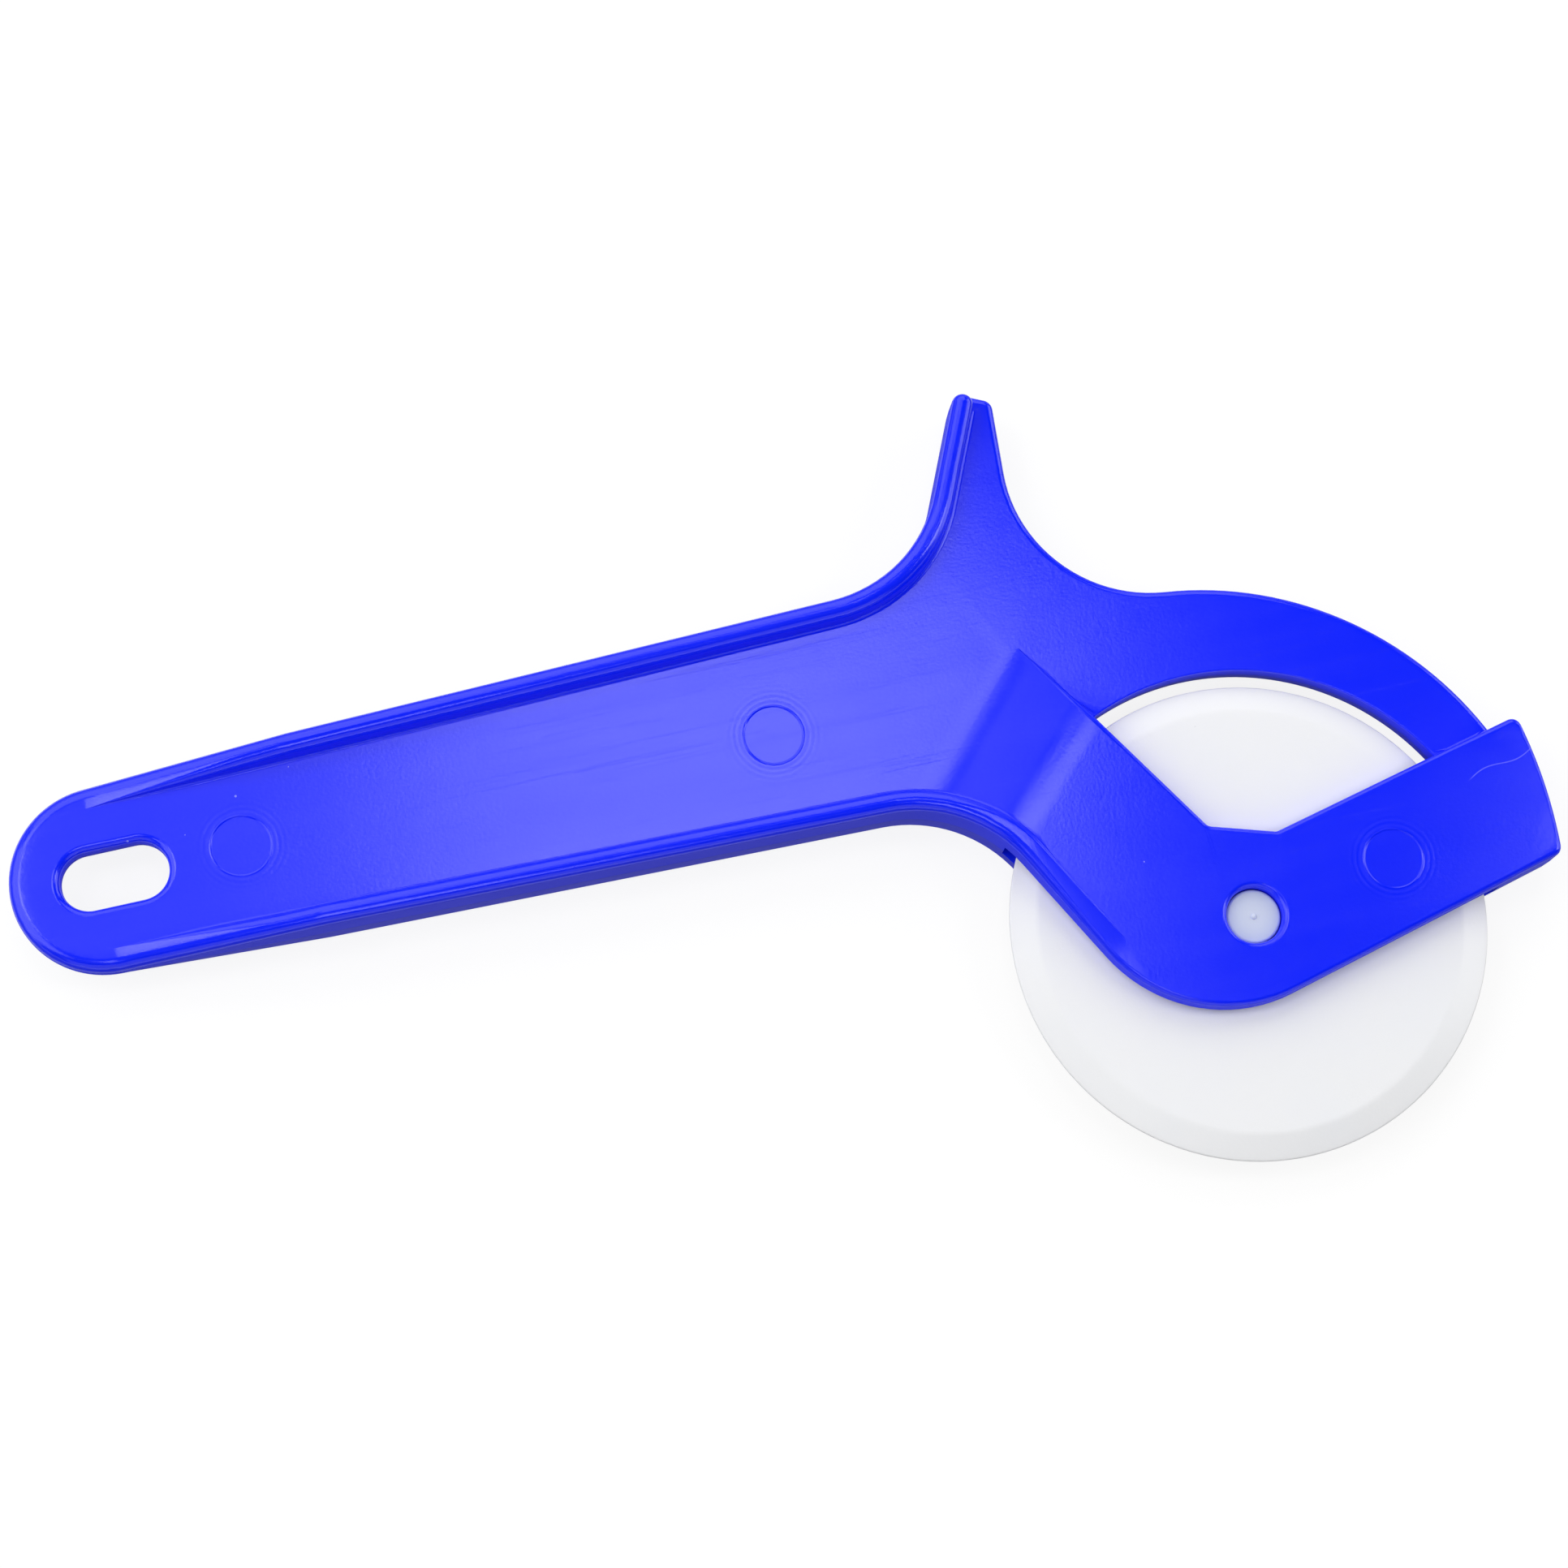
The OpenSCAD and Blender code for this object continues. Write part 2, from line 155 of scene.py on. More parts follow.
@dataclass(frozen=True)
class Line(Stretch):
    """A straight stretch between two points."""

    start: tuple[float, float] = (0.0, 0.0)
    end: tuple[float, float] = (1.0, 0.0)

    def _axes(self) -> tuple[np.ndarray, np.ndarray, float, np.ndarray]:
        """Works out the line's own axes.

        Returns:
            Start, unit direction, length and inward normal.
        """
        start, end = np.array(self.start), np.array(self.end)
        length = float(np.linalg.norm(end - start))
        along = (end - start) / length
        return start, along, length, np.array([-along[1], along[0]])

    def points(self, pitch: float) -> tuple[Plan, Plan, np.ndarray]:
        """Samples the line.

        Args:
            pitch: millimetres between samples, where the section changes.

        Returns:
            Points, inward normals and fractions.
        """
        start, along, length, normal = self._axes()
        changes = self.tops[0] != self.tops[1] or self.rounds[0] != self.rounds[1]
        n = max(1, math.ceil(length / (pitch if changes else STEADY * pitch)))
        f = np.linspace(0, 1, n + 1)
        return start + np.outer(f * length, along), np.tile(normal, (n + 1, 1)), f

    def project(self, xy: Plan) -> tuple[np.ndarray, np.ndarray]:
        """The fraction of the length beside each point, and its distance inwards."""
        start, along, length, normal = self._axes()
        return (xy - start) @ along / length, (xy - start) @ normal


@dataclass(frozen=True)
class Arc(Stretch):
    """A round stretch, from one angle to another about its centre."""

    centre: tuple[float, float] = (0.0, 0.0)
    radius: float = 1.0
    first: float = 0.0
    last: float = 90.0

    def points(self, pitch: float) -> tuple[Plan, Plan, np.ndarray]:
        """Samples the arc.

        Args:
            pitch: millimetres between samples at most; small arcs get more.

        Returns:
            Points, inward normals and fractions.
        """
        sweep = abs(self.last - self.first)
        n = max(2, math.ceil(sweep / ARC_STEP), math.ceil(math.radians(sweep) * self.radius / pitch))
        f = np.linspace(0, 1, n + 1)
        angles = np.radians(self.first + (self.last - self.first) * f)
        out = np.stack([np.cos(angles), np.sin(angles)], axis=1)
        return np.array(self.centre) + self.radius * out, out * (-1 if self.last > self.first else 1), f

    def project(self, xy: Plan) -> tuple[np.ndarray, np.ndarray]:
        """Finds how far along and how far inside the arc each point lies.

        Args:
            xy: points of the plan.

        Returns:
            The fractions and the distances.
        """
        offset = xy - np.array(self.centre)
        reach = distance(offset)
        middle = (self.first + self.last) / 2
        angle = np.degrees(np.arctan2(offset[:, 1], offset[:, 0]))
        angle = middle + (angle - middle + 180) % 360 - 180
        inwards = (self.radius - reach) if self.last > self.first else (reach - self.radius)
        return (angle - self.first) / (self.last - self.first), inwards


class Outline:
    """A row of stretches, with the section that each carries."""

    def __init__(self, stretches: Sequence[Stretch]) -> None:
        """Keeps the stretches in walking order."""
        self.stretches = list(stretches)

    def reading(self, xy: Plan) -> dict[str, np.ndarray]:
        """Reads the nearest stretch at each point.

        Args:
            xy: points of the plan.

        Returns:
            Arrays by name: inwards, the distance inside the edge, its top and its round, and bead, 1 on one.
        """
        starts = {"inwards": FAR, "top": 0.0, "round": 1.0, "bead": 0.0}
        best = {name: np.full(len(xy), start) for name, start in starts.items()}
        for stretch in self.stretches:
            f, d = stretch.project(xy)
            near = (f > -TOUCH) & (f < 1 + TOUCH) & (np.abs(d) < np.abs(best["inwards"]))
            top, rounding = stretch.section(np.clip(f, 0, 1))
            found = {"inwards": d, "top": top, "round": rounding, "bead": float(stretch.kind is Kind.BEAD)}
            for name, value in found.items():
                best[name] = np.where(near, value, best[name])
        return best

    def samples(self, pitch: float, kind: Optional[Kind] = None) -> list[Sample]:
        """Walks the outline.

        Args:
            pitch: millimetres between samples.
            kind: the only kind of stretch that is kept, or None for all.

        Returns:
            The samples in walking order, one alone where two stretches meet.
        """
        rows: list[Sample] = []
        for stretch in self.stretches:
            for p, n, f in zip(*stretch.points(pitch)):
                if rows and np.linalg.norm(rows[-1].at - p) < TOUCH:
                    continue
                rows.append(Sample(p, n, *stretch.section(f), stretch.kind))
        return [s for s in rows if kind in (None, s.kind)]


def lip(inwards: np.ndarray, top: np.ndarray, rounding: np.ndarray, slope: float) -> np.ndarray:
    """Height of a wall with a rounded top edge.

    Args:
        inwards: distance inside the outline.
        top: height of the flat inside the edge.
        rounding: radius of the edge.
        slope: how far the wall leans in for each millimetre that it rises.

    Returns:
        The height at each distance.
    """
    rounding = np.maximum(rounding, TINY)
    wall = (top - rounding) * slope
    across = np.clip((inwards - wall) / rounding, 0, 1)
    curved = top - rounding + rounding * np.sqrt(np.maximum(0, 1 - (1 - across) ** 2))
    return np.where(inwards < wall, np.maximum(inwards, 0) / slope, curved)


def curl(steps: int) -> list[float]:
    """Steps from 0 to 1 that lie closest where a quarter round is steepest."""
    return [1 - math.cos(math.pi / 2 * k / steps) for k in range(steps + 1)]


def lip_stations(top: float, rounding: float, slope: float, steps: int) -> list[float]:
    """Distances inwards at which an edge needs a row of points."""
    wall = (top - rounding) * slope
    return [0.0] + [wall + rounding * c for c in curl(steps)]


def cove(outwards: np.ndarray, radius: np.ndarray) -> np.ndarray:
    """Height of the concave curve at a wall's root.

    Args:
        outwards: distance from the wall.
        radius: radius of the curve.

    Returns:
        Height above the flat at the wall's foot.
    """
    radius = np.maximum(radius, TINY)
    gap = np.clip(radius - outwards, 0, radius)
    return radius - np.sqrt(np.maximum(0, radius**2 - gap**2))


class Mesher:
    """Collects lines of a plan and turns them into a triangulated skin."""

    def __init__(self) -> None:
        """Starts with no lines."""
        self.points: list[tuple[float, float]] = []
        self.edges: list[tuple[int, int]] = []

    def line(self, points: Sequence[np.ndarray], closed: bool = False) -> None:
        """Adds a row of points, joined in order.

        Args:
            points: the row.
            closed: whether its ends are joined too.
        """
        first = len(self.points)
        self.points.extend((float(p[0]), float(p[1])) for p in points)
        last = len(self.points) - 1
        self.edges.extend((i, i + 1) for i in range(first, last))
        if closed:
            self.edges.append((last, first))

    def rows(self, rows: Sequence[Sequence[np.ndarray]]) -> None:
        """Adds lines that run from row to row, one through each of their places."""
        for line in zip(*rows):
            self.line(line)

    def circle(self, centre: np.ndarray, radius: float, count: int) -> None:
        """Adds a closed ring of points."""
        turns = [heading(360 * k / count) for k in range(count)]
        self.line([centre + radius * t for t in turns], closed=True)

    def triangulate(self) -> tuple[Plan, np.ndarray]:
        """Joins the lines into triangles.

        Returns:
            The plan's points, and three point numbers for each triangle.
        """
        vectors = [Vector(p) for p in self.points]
        found = delaunay_2d_cdt(vectors, self.edges, [], 0, SNAP, False)
        xy = np.array([(v.x, v.y) for v in found[0]])
        return xy, np.array([list(f) for f in found[2]])


def put_in_scene(name: str, data: bpy.types.ID) -> bpy.types.Object:
    """Makes an object and links it to the scene.

    Args:
        name: the object's name.
        data: the mesh, lamp or camera.

    Returns:
        The object.
    """
    piece = bpy.data.objects.new(name, data)
    bpy.context.scene.collection.objects.link(piece)
    return piece


def inside(xy: Plan, ring: Plan) -> np.ndarray:
    """Finds which points lie inside a closed ring.

    Args:
        xy: points of the plan.
        ring: the ring's points in order.

    Returns:
        One flag for each point.
    """
    result = np.zeros(len(xy), dtype=bool)
    x, y = xy[:, 0], xy[:, 1]
    for (x0, y0), (x1, y1) in zip(ring, np.roll(ring, -1, axis=0)):
        if y0 == y1:
            continue
        spans = (y0 > y) != (y1 > y)
        result ^= spans & (x < (x1 - x0) * (y - y0) / (y1 - y0) + x0)
    return result


@dataclass
class MouldedHandle:
    """The blue moulding: grip, guard, arch and slotted fork.

    Sizes are in millimetres and angles in degrees. The plan is drawn about the wheel's axis, with
    the grip towards -X, and heights are measured from the middle plane.
    """

    # The wheel's slot, and the heights of the faces.
    wheel_radius: float
    wheel_gap: float = 1.8
    slot_width: float = 3.1
    slot_facets: int = 240
    leg_thickness: float = 2.55
    web: float = 1.8
    rim: float = 5.0
    least_height: float = 0.02
    # The edges, and the coves at the feet of rims and legs.
    slope: float = math.tan(math.radians(1.0))
    rim_width: float = 2.9
    rim_round: float = 1.38
    rim_round_share: float = 0.55
    root: float = 0.6
    root_share: float = 0.4
    edge_round: float = 1.0
    edge_band: float = 3.0
    leg_round: float = 0.7
    leg_root: float = 0.35
    least_round: float = 0.02
    # The grip and its butt.
    reach: float = 139.5
    grip_y: float = 37.55
    butt_radius: float = 12.0
    butt_round: float = 1.7
    taper: float = 1.5
    rise: float = 26.0
    throat_radius: float = 17.9
    # The thumb guard.
    guard_height: float = 38.1
    guard_x: float = 20.2
    guard_width: float = 5.4
    guard_angle: float = 65.0
    flank_angle: float = 85.0
    crook_radius: float = 18.5
    flank_radius: float = 18.6
    tip_radius: float = 1.5
    tip_over: float = 0.75
    tip_step: float = 0.34
    # The arch over the wheel.
    arch_width: float = 12.1
    arch_shift: float = 4.25
    arch_under: float = 1.0
    window_gap: float = 0.02
    window_edge: float = 0.25
    window_overrun: float = 0.3
    # The fork: hub, shin, arm and nose.
    hub: tuple[float, float] = (-2.2, 8.4)
    hub_radius: float = 19.5
    shin_angle: float = -62.4
    shin_top_angle: float = -58.5
    arm_angle: float = 13.6
    arm_taper: float = 1.3
    arm_width: float = 19.3
    saddle: tuple[float, float] = (8.4, 2.65)
    saddle_end: float = 5.7
    window_round: float = 1.0
    nose_wall: float = 8.9
    nose_radius: float = 60.0
    nose_y: float = 6.4
    nose_round: float = 1.3
    nose_probe: float = 3.0
    ramp_length: float = 11.6
    ramp_angle: float = -44.0
    ramp_back: float = 1.3
    crease: float = 2.6
    # The bores and the hanging slot.
    bore_radius: float = 3.6
    bore_slope: float = math.tan(math.radians(1.0)) / 4
    lead_in: float = 0.7
    slot_length: float = 13.6
    slot_height: float = 7.4
    slot_x: float = 1.2
    slot_round: float = 1.0
    # The ejector marks, from the butt's centre and from the axis, the weld and the parting line.
    grip_marks: tuple[tuple[float, float], ...] = ((17.3, 0.15), (85.8, -0.75))
    arm_mark: tuple[float, float] = (19.3, 3.0)
    mark_radius: float = 3.75
    mark_depth: float = 0.05
    mark_edge: float = 0.12
    mark_ridge: float = 0.04
    ridge_at: float = 0.14
    ridge_width: float = 0.09
    mark_rows: tuple[float, ...] = (-0.12, -0.06, 0.0, 0.06, 0.11, 0.16, 0.21, 0.3)
    weld: tuple[float, float] = (36.4, 11.9)
    parting_drop: float = 0.35
    # How finely the skin is drawn.
    pitch: float = 1.6
    turns: int = 6
    leg_turns: int = 4
    foot_turns: int = 3
    cap_steps: int = 16
    ring_steps: int = 96
    end_steps: int = 36
    crease_rows: int = 9
    crease_span: tuple[float, float] = (-30.0, 60.0)
    crease_probe: float = 0.05
    crease_gaps: tuple[float, float] = (0.05, 0.15)
    window_step: float = 2.0
    foot_margin: float = 1.0
    foot_low: float = 5.0
    foot_far: float = 38.0
    ring_back: float = 24.0
    outer: Outline = field(init=False)
    open_edge: Outline = field(init=False)

    def __post_init__(self) -> None:
        """Works out the tangent points and the two outlines."""
        self.cavity = self.wheel_radius + self.wheel_gap
        self.window_radius = self.cavity + self.window_gap
        self.leg = self.slot_width / 2 + self.leg_thickness
        self._place_grip()
        self._place_guard()
        self._place_leg()
        self.outer = Outline(self._rim_stretches() + self._leg_stretches())
        self.open_edge = Outline(self._open_stretches())

    def _place_grip(self) -> None:
        """Centres of the butt, the hanging slot, the hub and the finger curve."""
        self.butt = np.array([-self.reach, self.grip_y])
        self.slot_c = self.butt + np.array([self.slot_x, 0])
        self.slot_half = (self.slot_length - self.slot_height) / 2
        self.top_start = self.butt + self.butt_radius * heading(90 + self.taper)
        self.low_start = self.butt + self.butt_radius * heading(-90 - self.taper)
        self.hub_c = np.array(self.hub)
        self.shin_end = self.hub_c + self.hub_radius * heading(self.shin_angle - 90)
        self.throat = crossing(
            self.low_start + self.throat_radius * heading(-90 - self.taper),
            -self.taper,
            self.shin_end + self.throat_radius * heading(self.shin_angle - 90),
            self.shin_angle,
        )

    def _place_guard(self) -> None:
        """Centres of the curves round the thumb guard and the arch."""
        a, w = self.guard_angle, self.rim_width
        self.tip_y = self.grip_y + self.guard_height
        guard = np.array([-self.guard_x, self.tip_y])
        self.crook = crossing(
            self.top_start + self.crook_radius * heading(90 + self.taper),
            self.taper,
            guard + self.crook_radius * heading(a + 90),
            a,
        )
        self.post = crossing(guard + w / 2 * heading(a - 90), a, np.array([0, self.tip_y - w / 2]), 0)
        self.arch_radius = self.cavity + self.arch_width
        self.arch_c = np.array([-self.arch_shift, 0.0])
        flank = guard + np.array([self.guard_width, 0])
        along = heading(self.flank_angle)
        q = flank + self.flank_radius * heading(self.flank_angle - 90) - self.arch_c
        run = q @ along
        back = run - math.sqrt(run**2 - q @ q + (self.arch_radius + self.flank_radius) ** 2)
        self.flank_c = self.arch_c + q - back * along
        gap = self.flank_c - self.arch_c
        self.join = math.degrees(math.atan2(gap[1], gap[0]))
        corner = flank + self.tip_radius * heading(self.flank_angle + 90)
        tip = self.post + (w / 2 + self.tip_over) * heading(a)
        self.tip_c = crossing(corner, self.flank_angle, tip - self.tip_radius * heading(a), a - 90)
        self.tip_left = tip + self.tip_step * heading(a - 90) - w / 2 * heading(a)

    def _place_leg(self) -> None:
        """Corners of the arm, the nose and the window."""
        top_angle = self.arm_angle - self.arm_taper
        self.arm_low = self.hub_c + self.hub_radius * heading(self.arm_angle - 90)
        self.arm_top = self.arm_low + self.arm_width * heading(self.arm_angle + 90)
        self.nose_c = np.array([self.cavity + self.nose_wall - self.nose_radius, self.nose_y])
        right = np.array([self.nose_c[0] + self.nose_radius, 0])
        self.nose_low = self._nose_at(crossing(self.arm_low, self.arm_angle, right, 90)[1])
        self.nose_high = self._nose_at(crossing(self.arm_top, top_angle, right, 90)[1])
        self.saddle_b = crossing(self.arm_top, top_angle, np.array([self.saddle_end, 0]), 90)
        self.saddle_a = self.saddle_b + np.array([-self.saddle[0], self.saddle[1]])
        self.ramp_top = self.ramp_back - self.cavity
        self.ramp_foot = self.ramp_top - self.ramp_length
        up = heading(self.ramp_angle)
        down_leg = heading(self.shin_top_angle)
        run = (self.saddle_a @ up - self.ramp_foot) / (down_leg @ up)
        self.leg_foot = self.saddle_a - run * down_leg

    def _nose_at(self, y: float) -> np.ndarray:
        """The point of the nose's bowed end at a height."""
        dy = y - self.nose_c[1]
        return np.array([self.nose_c[0] + math.sqrt(self.nose_radius**2 - dy**2), y])

    def _corner(self, a: np.ndarray, b: np.ndarray, c: np.ndarray, radius: float, top: float) -> Arc:
        """A round corner at b, on the way from a to c.

        Args:
            a: a point before the corner.
            b: the corner.
            c: a point after it.
            radius: its rounding.
            top: the height of the face that it edges.

        Returns:
            The arc that touches both lines.
        """
        u, v = (a - b) / np.linalg.norm(a - b), (c - b) / np.linalg.norm(c - b)
        half = math.degrees(math.acos(float(u @ v))) / 2
        centre = b + (u + v) / np.linalg.norm(u + v) * radius / math.sin(math.radians(half))
        side = math.copysign(1, -u[0] * v[1] + u[1] * v[0])
        start = math.degrees(math.atan2(-u[1], -u[0])) - 90 * side
        sweep = side * (180 - 2 * half)
        rounds = (self.leg_round, self.leg_round)
        return Arc(Kind.PLAIN, (top, top), rounds, tuple(centre), radius, start, start + sweep)

    def _rim_stretches(self) -> list[Stretch]:
        """From the guard's tip over the grip, round the butt and down to the hub.

        Returns:
            The stretches in walking order.
        """
        full, r = (self.rim, self.rim), (self.rim_round, self.rim_round)
        soft, soften = (self.butt_round, self.butt_round), (self.rim_round, self.butt_round)
        a, t = self.guard_angle, self.taper
        out = self.post - self.rim_width / 2 * heading(a - 90)
        crook_end = self.crook + self.crook_radius * heading(t - 90)
        rise_top = self.top_start + self.rise * heading(t)
        rise_low = self.low_start + self.rise * heading(-t)
        throat_start = self.throat + self.throat_radius * heading(90 - t)
        throat_end = self.throat + self.throat_radius * heading(90 + self.shin_angle)
        climb, fall = (self.web, self.rim), (self.rim, self.web)
        return [
            Line(Kind.BEAD, full, r, tuple(out), tuple(self.crook + self.crook_radius * heading(a - 90))),
            Arc(Kind.BEAD, full, r, tuple(self.crook), self.crook_radius, a - 90, t - 90),
            Line(Kind.BEAD, full, r, tuple(crook_end), tuple(rise_top)),
            Line(Kind.BEAD, fall, soften, tuple(rise_top), tuple(self.top_start)),
            Arc(Kind.BEAD, (self.web,) * 2, soft, tuple(self.butt), self.butt_radius, 90 + t, 270 - t),
            Line(Kind.BEAD, climb, soften[::-1], tuple(self.low_start), tuple(rise_low)),
            Line(Kind.BEAD, full, r, tuple(rise_low), tuple(throat_start)),
            Arc(Kind.BEAD, full, r, tuple(self.throat), self.throat_radius, 90 - t, 90 + self.shin_angle),
            Line(
                Kind.BEAD, (self.rim, self.leg), (self.rim_round, self.leg_round),
                tuple(throat_end), tuple(self.shin_end),
            ),
        ]

    def _leg_stretches(self) -> list[Stretch]:
        """From the hub under the arm, round the nose and back to the ramp's foot.

        Returns:
            The stretches in walking order.
        """
        top, r = self.leg, (self.leg_round, self.leg_round)
        tops = (top, top)
        slope_low = self._nose_at(self.nose_low[1] + self.nose_probe)
        slope_high = self._nose_at(self.nose_high[1] - self.nose_probe)
        low = self._corner(self.arm_low, self.nose_low, slope_low, self.nose_round, top)
        high = self._corner(slope_high, self.nose_high, self.saddle_b, self.nose_round, top)
        right = self._corner(self.nose_high, self.saddle_b, self.saddle_a, self.window_round, top)
        left = self._corner(self.saddle_b, self.saddle_a, self.leg_foot, self.window_round, top)
        bow = Arc(
            Kind.PLAIN, tops, r, tuple(self.nose_c), self.nose_radius,
            *(self._bearing(self.nose_c, self._end(low)), self._bearing(self.nose_c, self._start(high))),
        )
        start, end = self.shin_angle - 90, self.arm_angle - 90
        return [
            Arc(Kind.PLAIN, tops, r, tuple(self.hub_c), self.hub_radius, start, end),
            Line(Kind.PLAIN, tops, r, tuple(self.arm_low), tuple(self._start(low))),
            low,
            bow,
            high,
            Line(Kind.PLAIN, tops, r, tuple(self._end(high)), tuple(self._start(right))),
            right,
            Line(Kind.PLAIN, tops, r, tuple(self._end(right)), tuple(self._start(left))),
            left,
            Line(Kind.PLAIN, tops, r, tuple(self._end(left)), tuple(self.leg_foot)),
        ]

    @staticmethod
    def _bearing(centre: np.ndarray, point: np.ndarray) -> float:
        """The angle of a point about a centre, in degrees."""
        return math.degrees(math.atan2(point[1] - centre[1], point[0] - centre[0]))

    @staticmethod
    def _start(arc: Arc) -> np.ndarray:
        """Where an arc starts."""
        return np.array(arc.centre) + arc.radius * heading(arc.first)

    @staticmethod
    def _end(arc: Arc) -> np.ndarray:
        """Where an arc ends."""
        return np.array(arc.centre) + arc.radius * heading(arc.last)

    def _open_stretches(self) -> list[Stretch]:
        """From the nose over the arch and up to the guard's tip.

        Returns:
            The stretches in walking order.
        """
        tops, r = (self.web, self.web), (self.edge_round, self.edge_round)
        arch_start = self._arc_meets_arm(self.arch_c, self.arch_radius) - self.arch_under
        flank_end = self.flank_c + self.flank_radius * heading(self.flank_angle + 90)
        corner = self.tip_c + self.tip_radius * heading(self.flank_angle - 90)
        a = self.guard_angle
        return [
            Arc(Kind.PLAIN, tops, r, tuple(self.arch_c), self.arch_radius, arch_start, self.join),
            Arc(
                Kind.PLAIN, tops, r, tuple(self.flank_c), self.flank_radius,
                self.join + 180, self.flank_angle + 90,
            ),
            Line(Kind.PLAIN, tops, r, tuple(flank_end), tuple(corner)),
            Arc(
                Kind.PLAIN, tops, r, tuple(self.tip_c), self.tip_radius,
                self.flank_angle - 90, a,
            ),
            Line(
                Kind.PLAIN, tops, r,
                tuple(self.tip_c + self.tip_radius * heading(a)),
                tuple(self.tip_left + self.rim_width / 2 * heading(a)),
            ),
            Arc(Kind.PLAIN, tops, r, tuple(self.tip_left), self.rim_width / 2, a, a + 90),
        ]

    def _arc_meets_arm(self, centre: np.ndarray, radius: float) -> float:
        """The angle at which a circle crosses the arm's upper edge.

        Args:
            centre: the circle's centre.
            radius: its radius.

        Returns:
            The angle about the centre, in degrees.
        """
        along = heading(self.arm_angle - self.arm_taper)
        offset = self.arm_top - centre
        run = -offset @ along + math.sqrt((offset @ along) ** 2 - offset @ offset + radius**2)
        return self._bearing(centre, self.arm_top + run * along)

    def _arc_meets_leg(self, radius: float) -> float:
        """The angle at which a circle about the axis crosses the leg's upper edge.

        Args:
            radius: the circle's radius.

        Returns:
            The angle about the axis, in degrees.
        """
        along = -heading(self.shin_top_angle)
        start = self.saddle_a
        run = -start @ along + math.sqrt((start @ along) ** 2 - start @ start + radius**2)
        return self._bearing(np.zeros(2), start + run * along)

    def level(self, xy: Plan) -> np.ndarray:
        """Height of the leg's face: the web, the ramp and the flat above the wheel.

        Args:
            xy: points of the plan.

        Returns:
            The height at each point.
        """
        climb = xy @ heading(self.ramp_angle)
        run = self._eased(climb - self.ramp_foot) - self._eased(climb - self.ramp_top)
        return self.web + (self.leg - self.web) * run / self.ramp_length

    def _eased(self, x: np.ndarray) -> np.ndarray:
        """A slope that starts at zero, with its crease rounded."""
        soft = (x + self.crease) ** 2 / (4 * self.crease)
        return np.where(x < -self.crease, 0, np.where(x > self.crease, x, soft))

    def height(self, xy: Plan) -> np.ndarray:
        """Height of the moulding's face over its middle plane.

        Args:
            xy: points of the plan.

        Returns:
            The height at each point.
        """
        read = self.outer.reading(xy)
        d, bead = read["inwards"], read["bead"] > 0
        in_leg = inside(xy, self.leg_ring) | ((np.abs(d) < TINY) & ~bead)
        in_leg &= ~((d < -TINY) & ~bead)
        level = self.level(xy)
        base = np.where(in_leg, level, self.web)
        web = self._web_height(xy)
        leg = np.where(bead, base, lip(d, base, self._leg_rounding(read["round"], base), self.slope))
        beyond = np.where(bead | in_leg, FAR, -d)
        foot = self.web + cove(beyond, np.minimum(self.leg_root, (level - self.web) / 2))
        on_web = (beyond < self.leg_root) & (web > 0)
        leg = np.maximum(np.where(in_leg, leg, 0), np.where(on_web, foot, 0))
        rim = np.where(bead & (d < self.rim_width + self.root), self._bead_height(d, read, base), 0)
        outer_half = bead & (d < self.rim_width / 2)
        z = np.maximum(np.where(outer_half, 0, np.maximum(web, leg)), rim)
        return np.minimum(np.maximum(z, self._cap_height(xy)), self._hole_lips(xy))

    def _leg_rounding(self, rounding: np.ndarray, base: np.ndarray) -> np.ndarray:
        """The rounding of a leg's edge, smaller where the leg sinks into the web."""
        return np.minimum(rounding, np.maximum(base - self.web, 0) / 2 + self.least_round)

    def _web_height(self, xy: Plan) -> np.ndarray:
        """Height of the web and the arch, with their rounded open edges.

        Args:
            xy: points of the plan.

        Returns:
            The height at each point.
        """
        inwards = self.open_edge.reading(xy)["inwards"]
        edge = lip(inwards, self.web, self.edge_round, self.slope)
        window = lip(distance(xy) - self.window_radius, self.web, self.window_edge, self.slope)
        return np.minimum(np.where(np.abs(inwards) < self.edge_band, edge, self.web), window)

    def _bead_foot(self, proud: np.ndarray, base: np.ndarray) -> tuple[np.ndarray, np.ndarray, np.ndarray]:
        """Sizes of a rim's inner side.

        Args:
            proud: how far the rim stands above the face beside it.
            base: height of that face.

        Returns:
            The rounding of its edge, the cove's radius at its foot, and how far inwards the cove starts.
        """
        inner = np.maximum(np.minimum(self.rim_round, self.rim_round_share * proud), TINY)
        root = np.maximum(np.minimum(self.root, self.root_share * proud), TINY)
        return inner, root, self.rim_width - (base + root) * self.slope

    def _bead_height(self, d: np.ndarray, read: dict[str, np.ndarray], base: np.ndarray) -> np.ndarray:
        """Height of a rim's bead and of the cove at its root.

        Args:
            d: distance inside the outline.
            read: what the outline carries there.
            base: height of the face that the bead stands on.

        Returns:
            The height at each point.
        """
        proud = np.maximum(read["top"] - base, 0)
        inner, root, foot = self._bead_foot(proud, base)
        outer = lip(d, read["top"], read["round"], self.slope)
        z = np.minimum(outer, lip(self.rim_width - d, read["top"], inner, self.slope))
        z = np.where(d > foot, base + cove(d - foot, root), z)
        return np.where(d > self.rim_width / 2, np.maximum(z, base), np.where(proud > 0, z, outer))

    def _cap_height(self, xy: Plan) -> np.ndarray:
        """Height of the rim's round end at the guard's tip.

        Args:
            xy: points of the plan.

        Returns:
            The height at each point.
        """
        offset = xy - self.post
        inwards = self.rim_width / 2 - distance(offset)
        z = lip(inwards, self.rim, self.rim_round, self.slope)
        return np.where((offset @ heading(self.guard_angle) > -TOUCH) & (inwards > 0), z, 0)

